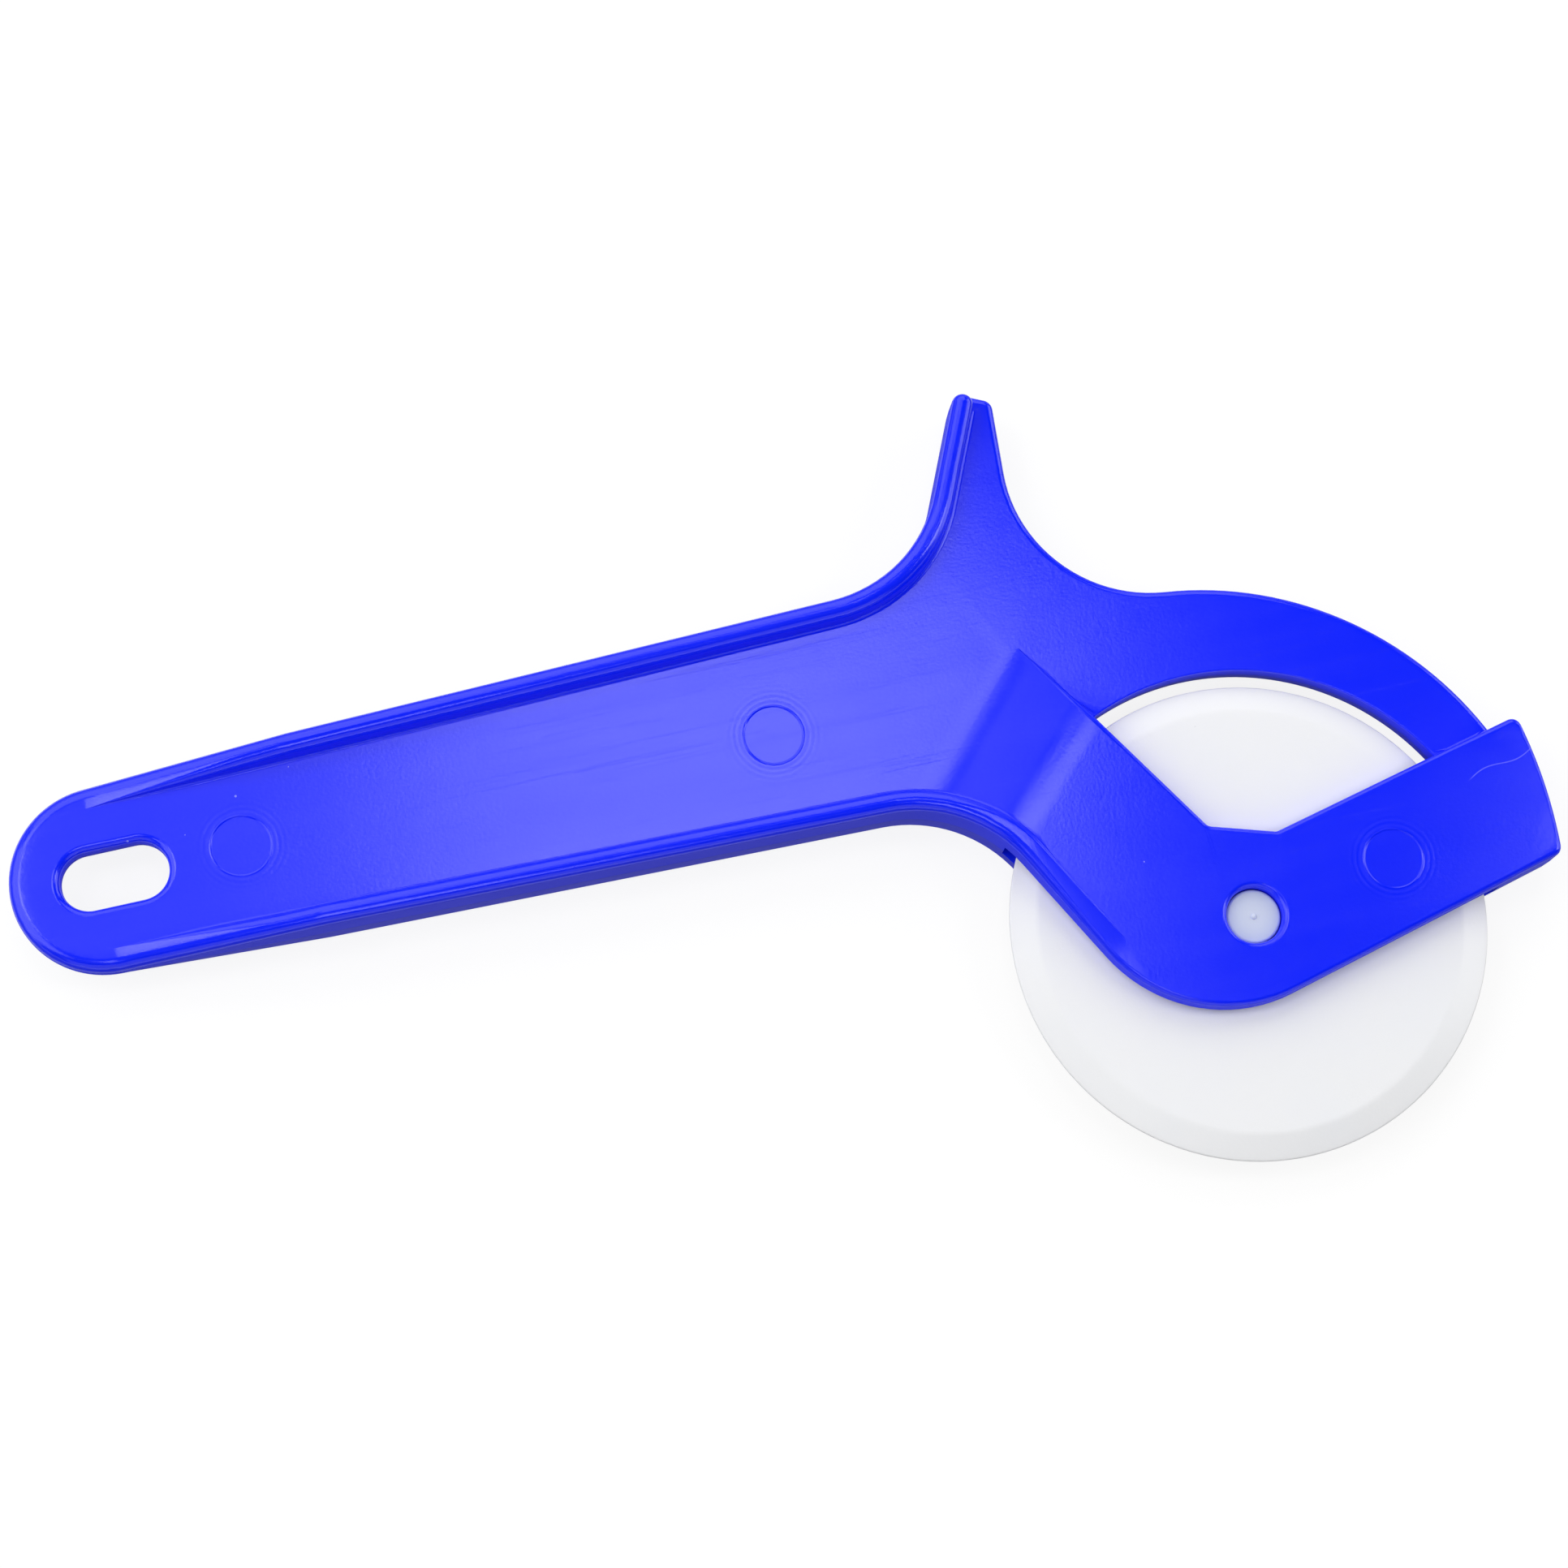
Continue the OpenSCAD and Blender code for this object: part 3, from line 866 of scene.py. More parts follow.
    def _hole_lips(self, xy: Plan) -> np.ndarray:
        """Height left round the bore and the hanging slot.

        Args:
            xy: points of the plan.

        Returns:
            The height at each point.
        """
        reach, near = distance(xy), self._slot_distance(xy)
        bore = lip(reach - self.bore_radius, self.leg, self.lead_in, self.bore_slope)
        slot = lip(near, self.web, self.slot_round, self.slope)
        bore = np.where(reach < 2 * self.bore_radius, bore, FAR)
        return np.minimum(bore, np.where(near < 2 * self.slot_round, slot, FAR))

    def _slot_distance(self, xy: Plan) -> np.ndarray:
        """Distance outside the hanging slot's wall."""
        x, y = (xy - self.slot_c).T
        return np.hypot(np.maximum(np.abs(x) - self.slot_half, 0), y) - self.slot_height / 2

    def _bead_stations(self, top: float, rounding: float, base: float) -> list[float]:
        """Distances inwards at which a rim needs a row of points.

        Args:
            top: the rim's height.
            rounding: radius of its outer edge.
            base: height of the face that it stands on.

        Returns:
            The same number of distances for every height.
        """
        inner, root, foot = self._bead_foot(max(top - base, 0), base)
        near = lip_stations(top, rounding, self.slope, self.turns)
        far = lip_stations(top, inner, self.slope, self.turns)[1:]
        far = [self.rim_width - s for s in reversed(far)]
        return near + far + [foot + root * c for c in curl(self.turns)]

    def _cap_arc(self, radius: float) -> list[np.ndarray]:
        """Points round the rim's end at the guard's tip."""
        return bend(self.post, radius, self.guard_angle + 90, self.guard_angle - 90, self.cap_steps)

    def _rim_lines(self, mesher: Mesher) -> None:
        """Draws the rows of points along the rims.

        Args:
            mesher: collects the lines.
        """
        rows = []
        for sample in self.outer.samples(self.pitch, Kind.BEAD):
            foot = np.array(sample.row([self.rim_width + self.root / 2]))
            base = float(self.level(foot)[0]) if inside(foot, self.leg_ring)[0] else self.web
            rows.append(sample.row(self._bead_stations(sample.top, sample.rounding, base)))
        mesher.rows(rows)
        for s in lip_stations(self.rim, self.rim_round, self.slope, self.turns):
            mesher.line(self._cap_arc(self.rim_width / 2 - s))

    def _stands_on_web(self, point: np.ndarray) -> bool:
        """Whether a point of the leg's edge has the web or the arch beside it."""
        clear = math.hypot(*point) > self.cavity - self.foot_margin
        return clear and point[1] > self.foot_low and point[0] < self.foot_far

    def _leg_lines(self, mesher: Mesher) -> None:
        """Draws the rows of points along the fork's edges, and at their feet on the web.

        Args:
            mesher: collects the lines.
        """
        edge, left, right = [], [], []
        for sample in self.outer.samples(self.pitch, Kind.PLAIN):
            base = float(self.level(sample.at[None, :])[0])
            rounding = float(self._leg_rounding(sample.rounding, base))
            edge.append(sample.row(lip_stations(base, rounding, self.slope, self.leg_turns)))
            if self._stands_on_web(sample.at):
                root = max(min(self.leg_root, (base - self.web) / 2), TINY)
                foot = sample.row([-root * c for c in curl(self.foot_turns)[1:]])
                (left if sample.at[0] < 0 else right).append(foot)
        for rows in (edge, left, right):
            mesher.rows(rows)

    def _ramp_lines(self, mesher: Mesher) -> None:
        """Draws level lines across the ramp, from the rim to the leg's free edge.

        Args:
            mesher: collects the lines.
        """
        up, across = heading(self.ramp_angle), heading(self.ramp_angle + 90)
        probe = np.arange(*self.crease_span, self.crease_probe)
        steps = self.crease * np.linspace(-1, 1, self.crease_rows)
        by_rim = self.rim_width + self.root + self.crease_gaps[0]
        by_edge = self.leg_round + self.crease_gaps[1]
        for u in np.concatenate([self.ramp_foot + steps, self.ramp_top + steps]):
            xy = u * up + np.outer(probe, across)
            read = self.outer.reading(xy)
            clear = read["inwards"] > np.where(read["bead"] > 0, by_rim, by_edge)
            span = xy[inside(xy, self.leg_ring) & clear]
            if len(span) > 2:
                mesher.line([span[0], span[-1]])

    def _open_lines(self, mesher: Mesher) -> None:
        """Draws the rows of points along the arch and the guard's far flank.

        Args:
            mesher: collects the lines.
        """
        stations = lip_stations(self.web, self.edge_round, self.slope, self.turns)
        mesher.rows([sample.row(stations) for sample in self.open_edge.samples(self.pitch)])
        for s in lip_stations(self.web, self.window_edge, self.slope, self.foot_turns):
            radius = self.window_radius + s
            first = self._arc_meets_arm(np.zeros(2), radius) - self.window_overrun
            last = self._arc_meets_leg(radius) + self.window_overrun
            mesher.line(bend(np.zeros(2), radius, first, last, math.ceil((last - first) / self.window_step)))

    def _hole_lines(self, mesher: Mesher) -> None:
        """Draws the rings round the bore and the hanging slot.

        Args:
            mesher: collects the lines.
        """
        for s in lip_stations(self.leg, self.lead_in, self.bore_slope, self.turns):
            mesher.circle(np.zeros(2), self.bore_radius + s, self.ring_steps)
        half = np.array([self.slot_half, 0])
        for s in lip_stations(self.web, self.slot_round, self.slope, self.turns):
            radius = self.slot_height / 2 + s
            right = bend(self.slot_c + half, radius, -90, 90, self.end_steps)
            left = bend(self.slot_c - half, radius, 90, 270, self.end_steps)
            mesher.line(right + left, closed=True)

    def mark_centres(self) -> list[np.ndarray]:
        """Where the ejector pins left their marks."""
        return [self.butt + np.array(mark) for mark in self.grip_marks] + [np.array(self.arm_mark)]

    def marks(self, xy: Plan) -> np.ndarray:
        """Relief of the ejector marks: shallow rounds with raised rings.

        Args:
            xy: points of the plan.

        Returns:
            What is added at each point.
        """
        z = np.zeros(len(xy))
        for centre in self.mark_centres():
            reach = distance(xy - centre) - self.mark_radius
            z -= self.mark_depth * np.clip(0.5 - reach / self.mark_edge, 0, 1)
            z += self.mark_ridge * np.exp(-((reach - self.ridge_at) / self.ridge_width) ** 2)
        return z

    def _mark_lines(self, mesher: Mesher) -> None:
        """Draws the rings at the edge of each ejector mark.

        Args:
            mesher: collects the lines.
        """
        for centre in self.mark_centres():
            for s in self.mark_rows:
                mesher.circle(centre, self.mark_radius + s, self.ring_steps)

    def _rings(self) -> None:
        """Closed rings that say which triangles are plastic."""
        samples = self.outer.samples(self.pitch)
        start = self.throat + self.throat_radius * heading(90 - self.taper)
        first = min(range(len(samples)), key=lambda i: float(np.linalg.norm(samples[i].at - start)))
        leg = [s.at for s in samples[first:]]
        rim = [s.at for s in samples if s.kind is Kind.BEAD]
        edge = [s.at for s in self.open_edge.samples(self.pitch)]
        self.leg_ring = np.array(leg + [self.leg_foot - np.array([self.ring_back, 0])])
        self.web_ring = np.array(rim + [np.zeros(2)] + edge)
        self.cap_ring = np.array(self._cap_arc(self.rim_width / 2))

    def plan(self) -> tuple[Plan, np.ndarray]:
        """Triangulates the plan.

        Returns:
            Points in millimetres from the wheel's axis, and triangles.
        """
        self._rings()
        mesher = Mesher()
        self._rim_lines(mesher)
        self._leg_lines(mesher)
        self._ramp_lines(mesher)
        self._open_lines(mesher)
        self._hole_lines(mesher)
        self._mark_lines(mesher)
        xy, triangles = mesher.triangulate()
        middle = xy[triangles].mean(axis=1)
        reach = distance(middle)
        web = (inside(middle, self.web_ring) | inside(middle, self.cap_ring)) & (reach > self.window_radius)
        keep = web | inside(middle, self.leg_ring)
        keep &= (reach > self.bore_radius) & (self._slot_distance(middle) > 0)
        return xy, triangles[keep]

    def _skin(self) -> tuple[np.ndarray, np.ndarray]:
        """Raises both faces from the plan and joins them at the parting line.

        Returns:
            Vertices in millimetres from the wheel's axis, and three vertex numbers for each face.
        """
        xy, triangles = self.plan()
        used, numbers = np.unique(triangles, return_inverse=True)
        xy, triangles = xy[used], numbers.reshape(-1, 3)
        pairs = np.concatenate([triangles[:, pair] for pair in ([0, 1], [1, 2], [2, 0])])
        edges, counts = np.unique(np.sort(pairs, axis=1), axis=0, return_counts=True)
        border = np.unique(edges[counts == 1])
        free = np.ones(len(xy), dtype=bool)
        free[border] = False
        z, drop = self.height(xy), self.parting_drop
        front = np.where(free, np.maximum(z, self.least_height) + self.marks(xy), -drop)
        back = np.where(free, -np.maximum(z, self.least_height + drop), -drop)
        a, b, c = (xy[triangles[:, k]] for k in range(3))
        turn = (b[:, 0] - a[:, 0]) * (c[:, 1] - a[:, 1]) - (b[:, 1] - a[:, 1]) * (c[:, 0] - a[:, 0])
        triangles[turn < 0] = triangles[turn < 0][:, ::-1]
        behind = np.arange(len(xy)) + len(xy)
        behind[border] = border
        vertices = np.concatenate([np.column_stack([xy, front]), np.column_stack([xy, back])])
        return vertices, np.concatenate([triangles, behind[triangles][:, ::-1]])

    def build(self, axle: Vector) -> bpy.types.Object:
        """Makes the handle's mesh.

        Args:
            axle: the wheel's axis at the middle plane, in metres.

        Returns:
            The handle, closed and cut for the wheel.
        """
        vertices, faces = self._skin()
        mesh = bpy.data.meshes.new("handle_moulding")
        mesh.from_pydata((vertices * MM + np.array(axle)).tolist(), [], faces.tolist())
        mesh.validate()
        piece = put_in_scene("handle_moulding", mesh)
        clean = bmesh.new()
        clean.from_mesh(mesh)
        loose = [v for v in clean.verts if not v.link_faces]
        bmesh.ops.delete(clean, geom=loose, context="VERTS")
        open_edges = sum(1 for e in clean.edges if len(e.link_faces) != 2)
        LOG.info("handle skin: %d faces, %d open edges", len(clean.faces), open_edges)
        clean.to_mesh(mesh)
        clean.free()
        self._cut_slot(piece, axle)
        return piece

    def _cut_slot(self, piece: bpy.types.Object, axle: Vector) -> None:
        """Cuts the wheel's slot between the legs.

        Args:
            piece: the handle.
            axle: the wheel's axis at the middle plane, in metres.
        """
        tool_mesh = bpy.data.meshes.new("slot_cutter")
        tool = bmesh.new()
        bmesh.ops.create_cone(
            tool, cap_ends=True, segments=self.slot_facets, radius1=self.cavity * MM,
            radius2=self.cavity * MM, depth=self.slot_width * MM, matrix=Matrix.Translation(axle),
        )
        tool.to_mesh(tool_mesh)
        tool.free()
        cutter = put_in_scene("slot_cutter", tool_mesh)
        cut = piece.modifiers.new("slot", "BOOLEAN")
        cut.operation = "DIFFERENCE"
        cut.solver = "EXACT"
        cut.object = cutter
        depsgraph = bpy.context.evaluated_depsgraph_get()
        result = bpy.data.meshes.new_from_object(piece.evaluated_get(depsgraph))
        piece.modifiers.clear()
        piece.data = result
        bpy.data.objects.remove(cutter)
        LOG.info("handle after the cut: %d faces", len(result.polygons))


@dataclass
class CuttingWheel:
    """The white disc with its bevelled edge and stub axles. Sizes in millimetres."""

    radius: float = 30.8
    thickness: float = 2.2
    bevel: float = 3.4
    bevel_ease: float = 0.35
    bevel_steps: int = 6
    edge: float = 0.5
    edge_round: float = 0.2
    edge_turn: float = 67.5
    edge_lift: float = 0.4
    edge_steps: int = 3
    stub_radius: float = 3.5
    stub_end: float = 2.8
    stub_round: float = 0.4
    stub_steps: int = 6
    stub_root: float = 0.3
    root_steps: int = 4
    gate_radius: float = 0.4
    gate_height: float = 0.3
    gate_steps: int = 3
    segments: int = 256

    def section(self) -> list[np.ndarray]:
        """Half of the wheel's section, from the front of the axis out and round to the back.

        Returns:
            Radius and height of each point, in millimetres.
        """
        half, flat, tip = self.thickness / 2, self.radius - self.bevel, self.edge / 2
        ease, root, end = self.bevel_ease, self.stub_root, self.stub_end
        nub = bend(np.zeros(2), 1.0, 90, 0, self.gate_steps)
        gate = [np.array([0, end]) + p * [self.gate_radius, self.gate_height] for p in nub]
        corner = np.array([self.stub_radius, end]) - self.stub_round
        points = bend(corner, self.stub_round, 90, 0, self.stub_steps)
        points += bend(np.array([self.stub_radius, half]) + root, root, 180, 270, self.root_steps)
        fall = (half - tip) / self.bevel
        for x in np.linspace(-ease, ease, self.bevel_steps + 1):
            points.append(np.array([flat + x, half - fall * (x + ease) ** 2 / (4 * ease)]))
        rounded = self.radius - self.edge_round
        points.append(np.array([rounded, tip + fall * self.edge_round * self.edge_lift]))
        blunt = np.array([rounded, tip - self.edge_round])
        points += bend(blunt, self.edge_round, self.edge_turn, 0, self.edge_steps)
        back = [p * [1, -1] for p in reversed(points)]
        return gate + points + back + [np.array([0, -end])]

    def build(self, axle: Vector) -> bpy.types.Object:
        """Turns the section into the wheel.

        Args:
            axle: the wheel's axis at the middle plane, in metres.

        Returns:
            The wheel.
        """
        shape = bmesh.new()
        turns = [heading(360 * k / self.segments) for k in range(self.segments)]
        rings = []
        for radius, z in self.section():
            spokes = turns if radius > TOUCH else [np.zeros(2)]
            rings.append([shape.verts.new(Vector((*(radius * t), z)) * MM + axle) for t in spokes])
        for first, second in zip(rings, rings[1:]):
            for k in range(self.segments):
                n = (k + 1) % self.segments
                if len(first) == 1:
                    shape.faces.new((first[0], second[k], second[n]))
                elif len(second) == 1:
                    shape.faces.new((first[k], second[0], first[n]))
                else:
                    shape.faces.new((first[k], second[k], second[n], first[n]))
        bmesh.ops.remove_doubles(shape, verts=shape.verts, dist=MERGE)
        bmesh.ops.recalc_face_normals(shape, faces=shape.faces)
        mesh = bpy.data.meshes.new("wheel_moulding")
        shape.to_mesh(mesh)
        shape.free()
        return put_in_scene("wheel_moulding", mesh)


Feed = Union[bpy.types.NodeSocket, float, tuple[float, ...]]
Colour = tuple[float, float, float]


class Wiring:
    """Adds nodes to a tree and joins them."""

    MIX_INPUTS = (0, 6, 7)  # the colour mix's factor, lower and upper colour
    MIX_RESULT = 2

    def __init__(self, tree: bpy.types.NodeTree) -> None:
        """Keeps the tree."""
        self.tree = tree

    def feed(self, socket: bpy.types.NodeSocket, feed: Feed) -> None:
        """Links an input to a socket, or sets its value.

        Args:
            socket: the input that is fed.
            feed: the socket or the value that it gets.
        """
        if isinstance(feed, bpy.types.NodeSocket):
            self.tree.links.new(feed, socket)
        else:
            socket.default_value = feed

    def node(
        self, kind: str, feeds: Union[dict[str, Feed], Sequence[Feed]] = (), **settings: object
    ) -> bpy.types.Node:
        """Adds a node.

        Args:
            kind: the node's type, without its prefix.
            feeds: a socket or a value for each of its inputs, by name or in their order.
            settings: the node's own options.

        Returns:
            The node.
        """
        node = self.tree.nodes.new("ShaderNode" + kind)
        for name, value in settings.items():
            setattr(node, name, value)
        named = feeds if isinstance(feeds, dict) else dict(enumerate(feeds))
        for name, feed in named.items():
            self.feed(node.inputs[name], feed)
        return node

    def math(self, operation: str, *feeds: Feed, clamp: bool = False) -> bpy.types.NodeSocket:
        """Adds a sum of numbers.

        Args:
            operation: what is done with them.
            feeds: the numbers.
            clamp: whether the result is kept between 0 and 1.

        Returns:
            The result's socket.
        """
        return self.node("Math", feeds, operation=operation, use_clamp=clamp).outputs[0]

    def vectors(self, operation: str, *feeds: Feed) -> bpy.types.NodeOutputs:
        """Adds a sum of vectors and gives its outputs."""
        return self.node("VectorMath", feeds, operation=operation).outputs

    def noise(self, place: Feed, scale: Feed, detail: float) -> bpy.types.NodeSocket:
        """Adds a cloudy pattern with values from 0 to 1."""
        return self.node("TexNoise", {"Vector": place, "Scale": scale, "Detail": detail}).outputs["Fac"]

    def ramp(
        self, value: Feed, low: Feed, high: Feed, to_low: float = 0.0, to_high: float = 1.0
    ) -> bpy.types.NodeSocket:
        """Maps a number smoothly from one range to another.

        Args:
            value: the number.
            low: where the range starts.
            high: where it ends.
            to_low: the result at the start.
            to_high: the result at the end.

        Returns:
            The result's socket.
        """
        feeds = {"Value": value, "From Min": low, "From Max": high, "To Min": to_low, "To Max": to_high}
        return self.node("MapRange", feeds, interpolation_type="SMOOTHSTEP").outputs["Result"]

    def blend(self, mask: Feed, under: Feed, over: Feed) -> bpy.types.NodeSocket:
        """Mixes two colours by a mask.

        Args:
            mask: how much of the upper colour shows.
            under: the colour at 0.
            over: the colour at 1.

        Returns:
            The colour's socket.
        """
        node = self.node("Mix", data_type="RGBA")
        for number, feed in zip(self.MIX_INPUTS, (mask, under, over)):
            self.feed(node.inputs[number], (*feed, 1.0) if isinstance(feed, tuple) else feed)
        return node.outputs[self.MIX_RESULT]

    def stretched(self, place: Feed, stretch: Sequence[float], turn: float) -> bpy.types.NodeSocket:
        """Turns a place about Z and scales it along each axis."""
        feeds = {"Vector": place, "Rotation": (0.0, 0.0, math.radians(turn)), "Scale": stretch}
        return self.node("Mapping", feeds).outputs["Vector"]


class Effect(Enum):
    """Effects that both plastics share, each a shader node group."""

    GRAIN = "mould_grain"
    FLOW = "flow_marks"
    DUST = "dust_specks"
    SCRATCHES = "hair_scratches"


class Effects:
    """Builds the shared node groups once and places them in materials."""

    INPUTS: dict[Effect, dict[str, float]] = {
        Effect.GRAIN: {"Scale": 2600.0, "Coarse": 0.5, "Peel": 0.09},
        Effect.FLOW: {"Along": 16.0, "Across": 160.0},
        Effect.DUST: {"Scale": 420.0, "Amount": 0.06, "Size": 0.07},
        Effect.SCRATCHES: {"Scale": 60.0, "Amount": 0.3, "Width": 0.006, "Patches": 37.0},
    }
    OUTPUT: dict[Effect, str] = {
        Effect.GRAIN: "Height",
        Effect.FLOW: "Value",
        Effect.DUST: "Mask",
        Effect.SCRATCHES: "Mask",
    }
    HAIRS = ((23.0, (0.5, 28.0, 1.0)), (-58.0, (0.4, 34.0, 1.0)))  # the turn and stretch of each set
    PATCH_EDGE = (0.56, 0.66)

    def __init__(self) -> None:
        """Builds every group."""
        makers: dict[Effect, Callable[[Wiring, bpy.types.NodeOutputs], bpy.types.NodeSocket]] = {
            Effect.GRAIN: self._grain,
            Effect.FLOW: self._flow,
            Effect.DUST: self._dust,
            Effect.SCRATCHES: self._scratches,
        }
        self.groups = {effect: self._group(effect, maker) for effect, maker in makers.items()}

    def _group(self, effect: Effect, maker: Callable) -> bpy.types.NodeTree:
        """Makes one group.

        Args:
            effect: which effect it is.
            maker: fills the group and gives its result.

        Returns:
            The group's tree.
        """
        tree = bpy.data.node_groups.new(effect.value, "ShaderNodeTree")
        tree.interface.new_socket("Vector", in_out="INPUT", socket_type="NodeSocketVector")
        for name, value in self.INPUTS[effect].items():
            socket = tree.interface.new_socket(name, in_out="INPUT", socket_type="NodeSocketFloat")
            socket.default_value = value
        tree.interface.new_socket(self.OUTPUT[effect], in_out="OUTPUT", socket_type="NodeSocketFloat")
        given = tree.nodes.new("NodeGroupInput")
        result = tree.nodes.new("NodeGroupOutput")
        tree.links.new(maker(Wiring(tree), given.outputs), result.inputs[0])
        return tree

    def _grain(self, wiring: Wiring, given: bpy.types.NodeOutputs) -> bpy.types.NodeSocket:
        """Fine satin of the mould's wall over a slow orange peel.

        Args:
            wiring: the group's nodes.
            given: the group's inputs by name.

        Returns:
            Its height.
        """
        fine = wiring.noise(given["Vector"], given["Scale"], detail=2.0)
        slow = wiring.math("MULTIPLY", given["Scale"], given["Peel"])
        peel = wiring.noise(given["Vector"], slow, detail=1.0)
        return wiring.math("ADD", fine, wiring.math("MULTIPLY", peel, given["Coarse"]))

    def _flow(self, wiring: Wiring, given: bpy.types.NodeOutputs) -> bpy.types.NodeSocket:
        """Cloudy streaks along the way that the plastic ran.

        Args:
            wiring: the group's nodes.
            given: the group's inputs by name.

        Returns:
            Its value.
        """
        across = given["Across"]
        scale = wiring.node("CombineXYZ", {"X": given["Along"], "Y": across, "Z": across})
        place = wiring.vectors("MULTIPLY", given["Vector"], scale.outputs["Vector"])
        return wiring.noise(place["Vector"], scale=1.0, detail=3.0)

    def _dust(self, wiring: Wiring, given: bpy.types.NodeOutputs) -> bpy.types.NodeSocket:
        """Sparse specks of uneven size.

        Args:
            wiring: the group's nodes.
            given: the group's inputs by name.

        Returns:
            Its mask.
        """
        cells = wiring.node("TexVoronoi", {"Vector": given["Vector"], "Scale": given["Scale"]})
        chance = wiring.node("SeparateColor", {"Color": cells.outputs["Color"]})
        chosen = wiring.math("LESS_THAN", chance.outputs["Red"], given["Amount"])
        size = wiring.math("MULTIPLY", chance.outputs["Green"], given["Size"])
        speck = wiring.math("LESS_THAN", cells.outputs["Distance"], size)
        return wiring.math("MULTIPLY", chosen, speck)

    def _scratches(self, wiring: Wiring, given: bpy.types.NodeOutputs) -> bpy.types.NodeSocket:
        """Hair-fine lines in two directions, broken into short lengths.

        Args:
            wiring: the group's nodes.
            given: the group's inputs by name.

        Returns:
            Its mask.
        """
        lines = []
        for turn, stretch in self.HAIRS:
            place = wiring.stretched(given["Vector"], stretch, turn)
            level = wiring.math("SUBTRACT", wiring.noise(place, given["Scale"], detail=1.0), 0.5)
            line = wiring.ramp(wiring.math("ABSOLUTE", level), 0.0, given["Width"], 1.0, 0.0)
            cloud = wiring.noise(place, given["Patches"], detail=0.0)
            patch = wiring.ramp(cloud, *self.PATCH_EDGE)
            lines.append(wiring.math("MULTIPLY", line, patch))
        return wiring.math("MULTIPLY", wiring.math("MAXIMUM", *lines), given["Amount"])

    def place(self, wiring: Wiring, effect: Effect, place: Feed, **values: float) -> bpy.types.NodeSocket:
        """Places an effect in a material.

        Args:
            wiring: the material's nodes.
            effect: which effect.
            place: the place that it reads.
            values: its inputs by name.

        Returns:
            Its result's socket.
        """
        node = wiring.tree.nodes.new("ShaderNodeGroup")
        node.node_tree = self.groups[effect]
        for name, feed in {"Vector": place, **values}.items():
            wiring.feed(node.inputs[name], feed)
        return node.outputs[0]


@dataclass(frozen=True)
class Plastic:
    """What both moulded plastics have in common. Sizes in metres."""

    name: str
    colour: Colour
    dusty: Colour
    roughness: float
    uneven: float = 0.03
    gloss_band: tuple[float, float] = (0.25, 0.75)
    grain: float = 0.00001
    satin: float = 0.05
    dust_cover: float = 0.6
    dust_rough: float = 0.3
    scratch: float = 0.2
    scratch_rough: float = 0.25
    scratch_depth: float = 0.000008

    def _shader(self) -> tuple[bpy.types.Material, Wiring, bpy.types.Node]:
        """Makes an empty material.

        Returns:
            The material, its wiring and its shader.
        """
        material = bpy.data.materials.new(self.name)
        material.use_nodes = True
        return material, Wiring(material.node_tree), material.node_tree.nodes["Principled BSDF"]

    def _gloss(self, wiring: Wiring, flow: Feed) -> bpy.types.NodeSocket:
        """Roughness that drifts with the plastic's flow."""
        low, high = self.roughness - self.uneven / 2, self.roughness + self.uneven / 2
        return wiring.ramp(flow, *self.gloss_band, low, high)

    def _finish(
        self, wiring: Wiring, shader: bpy.types.Node, effects: Effects, place: Feed,
        tone: Feed, gloss: Feed, height: Feed,
    ) -> None:
        """Joins the shared effects to the shader.

        Args:
            wiring: the material's nodes.
            shader: the Principled shader.
            effects: the shared groups.
            place: the place that they read.
            tone: the colour before dust.
            gloss: roughness before dust and scratches.
            height: relief before grain, in metres.
        """
        dust = effects.place(wiring, Effect.DUST, place)
        scratches = effects.place(wiring, Effect.SCRATCHES, place, Amount=self.scratch)
        grain = effects.place(wiring, Effect.GRAIN, place)
        tone = wiring.blend(wiring.math("MULTIPLY", dust, self.dust_cover), tone, self.dusty)
        rough = wiring.math("MULTIPLY_ADD", grain, self.satin, gloss)
        rough = wiring.math("MULTIPLY_ADD", scratches, self.scratch_rough, rough)
        rough = wiring.math("MULTIPLY_ADD", dust, self.dust_rough, rough, clamp=True)
        relief = wiring.math("MULTIPLY_ADD", grain, self.grain, height)
        relief = wiring.math("MULTIPLY_ADD", scratches, -self.scratch_depth, relief)
        bump = wiring.node("Bump", {"Height": relief, "Strength": 1.0, "Distance": 1.0})
        ends = {"Base Color": tone, "Roughness": rough, "Normal": bump.outputs["Normal"]}
        for name, feed in ends.items():
            wiring.feed(shader.inputs[name], feed)


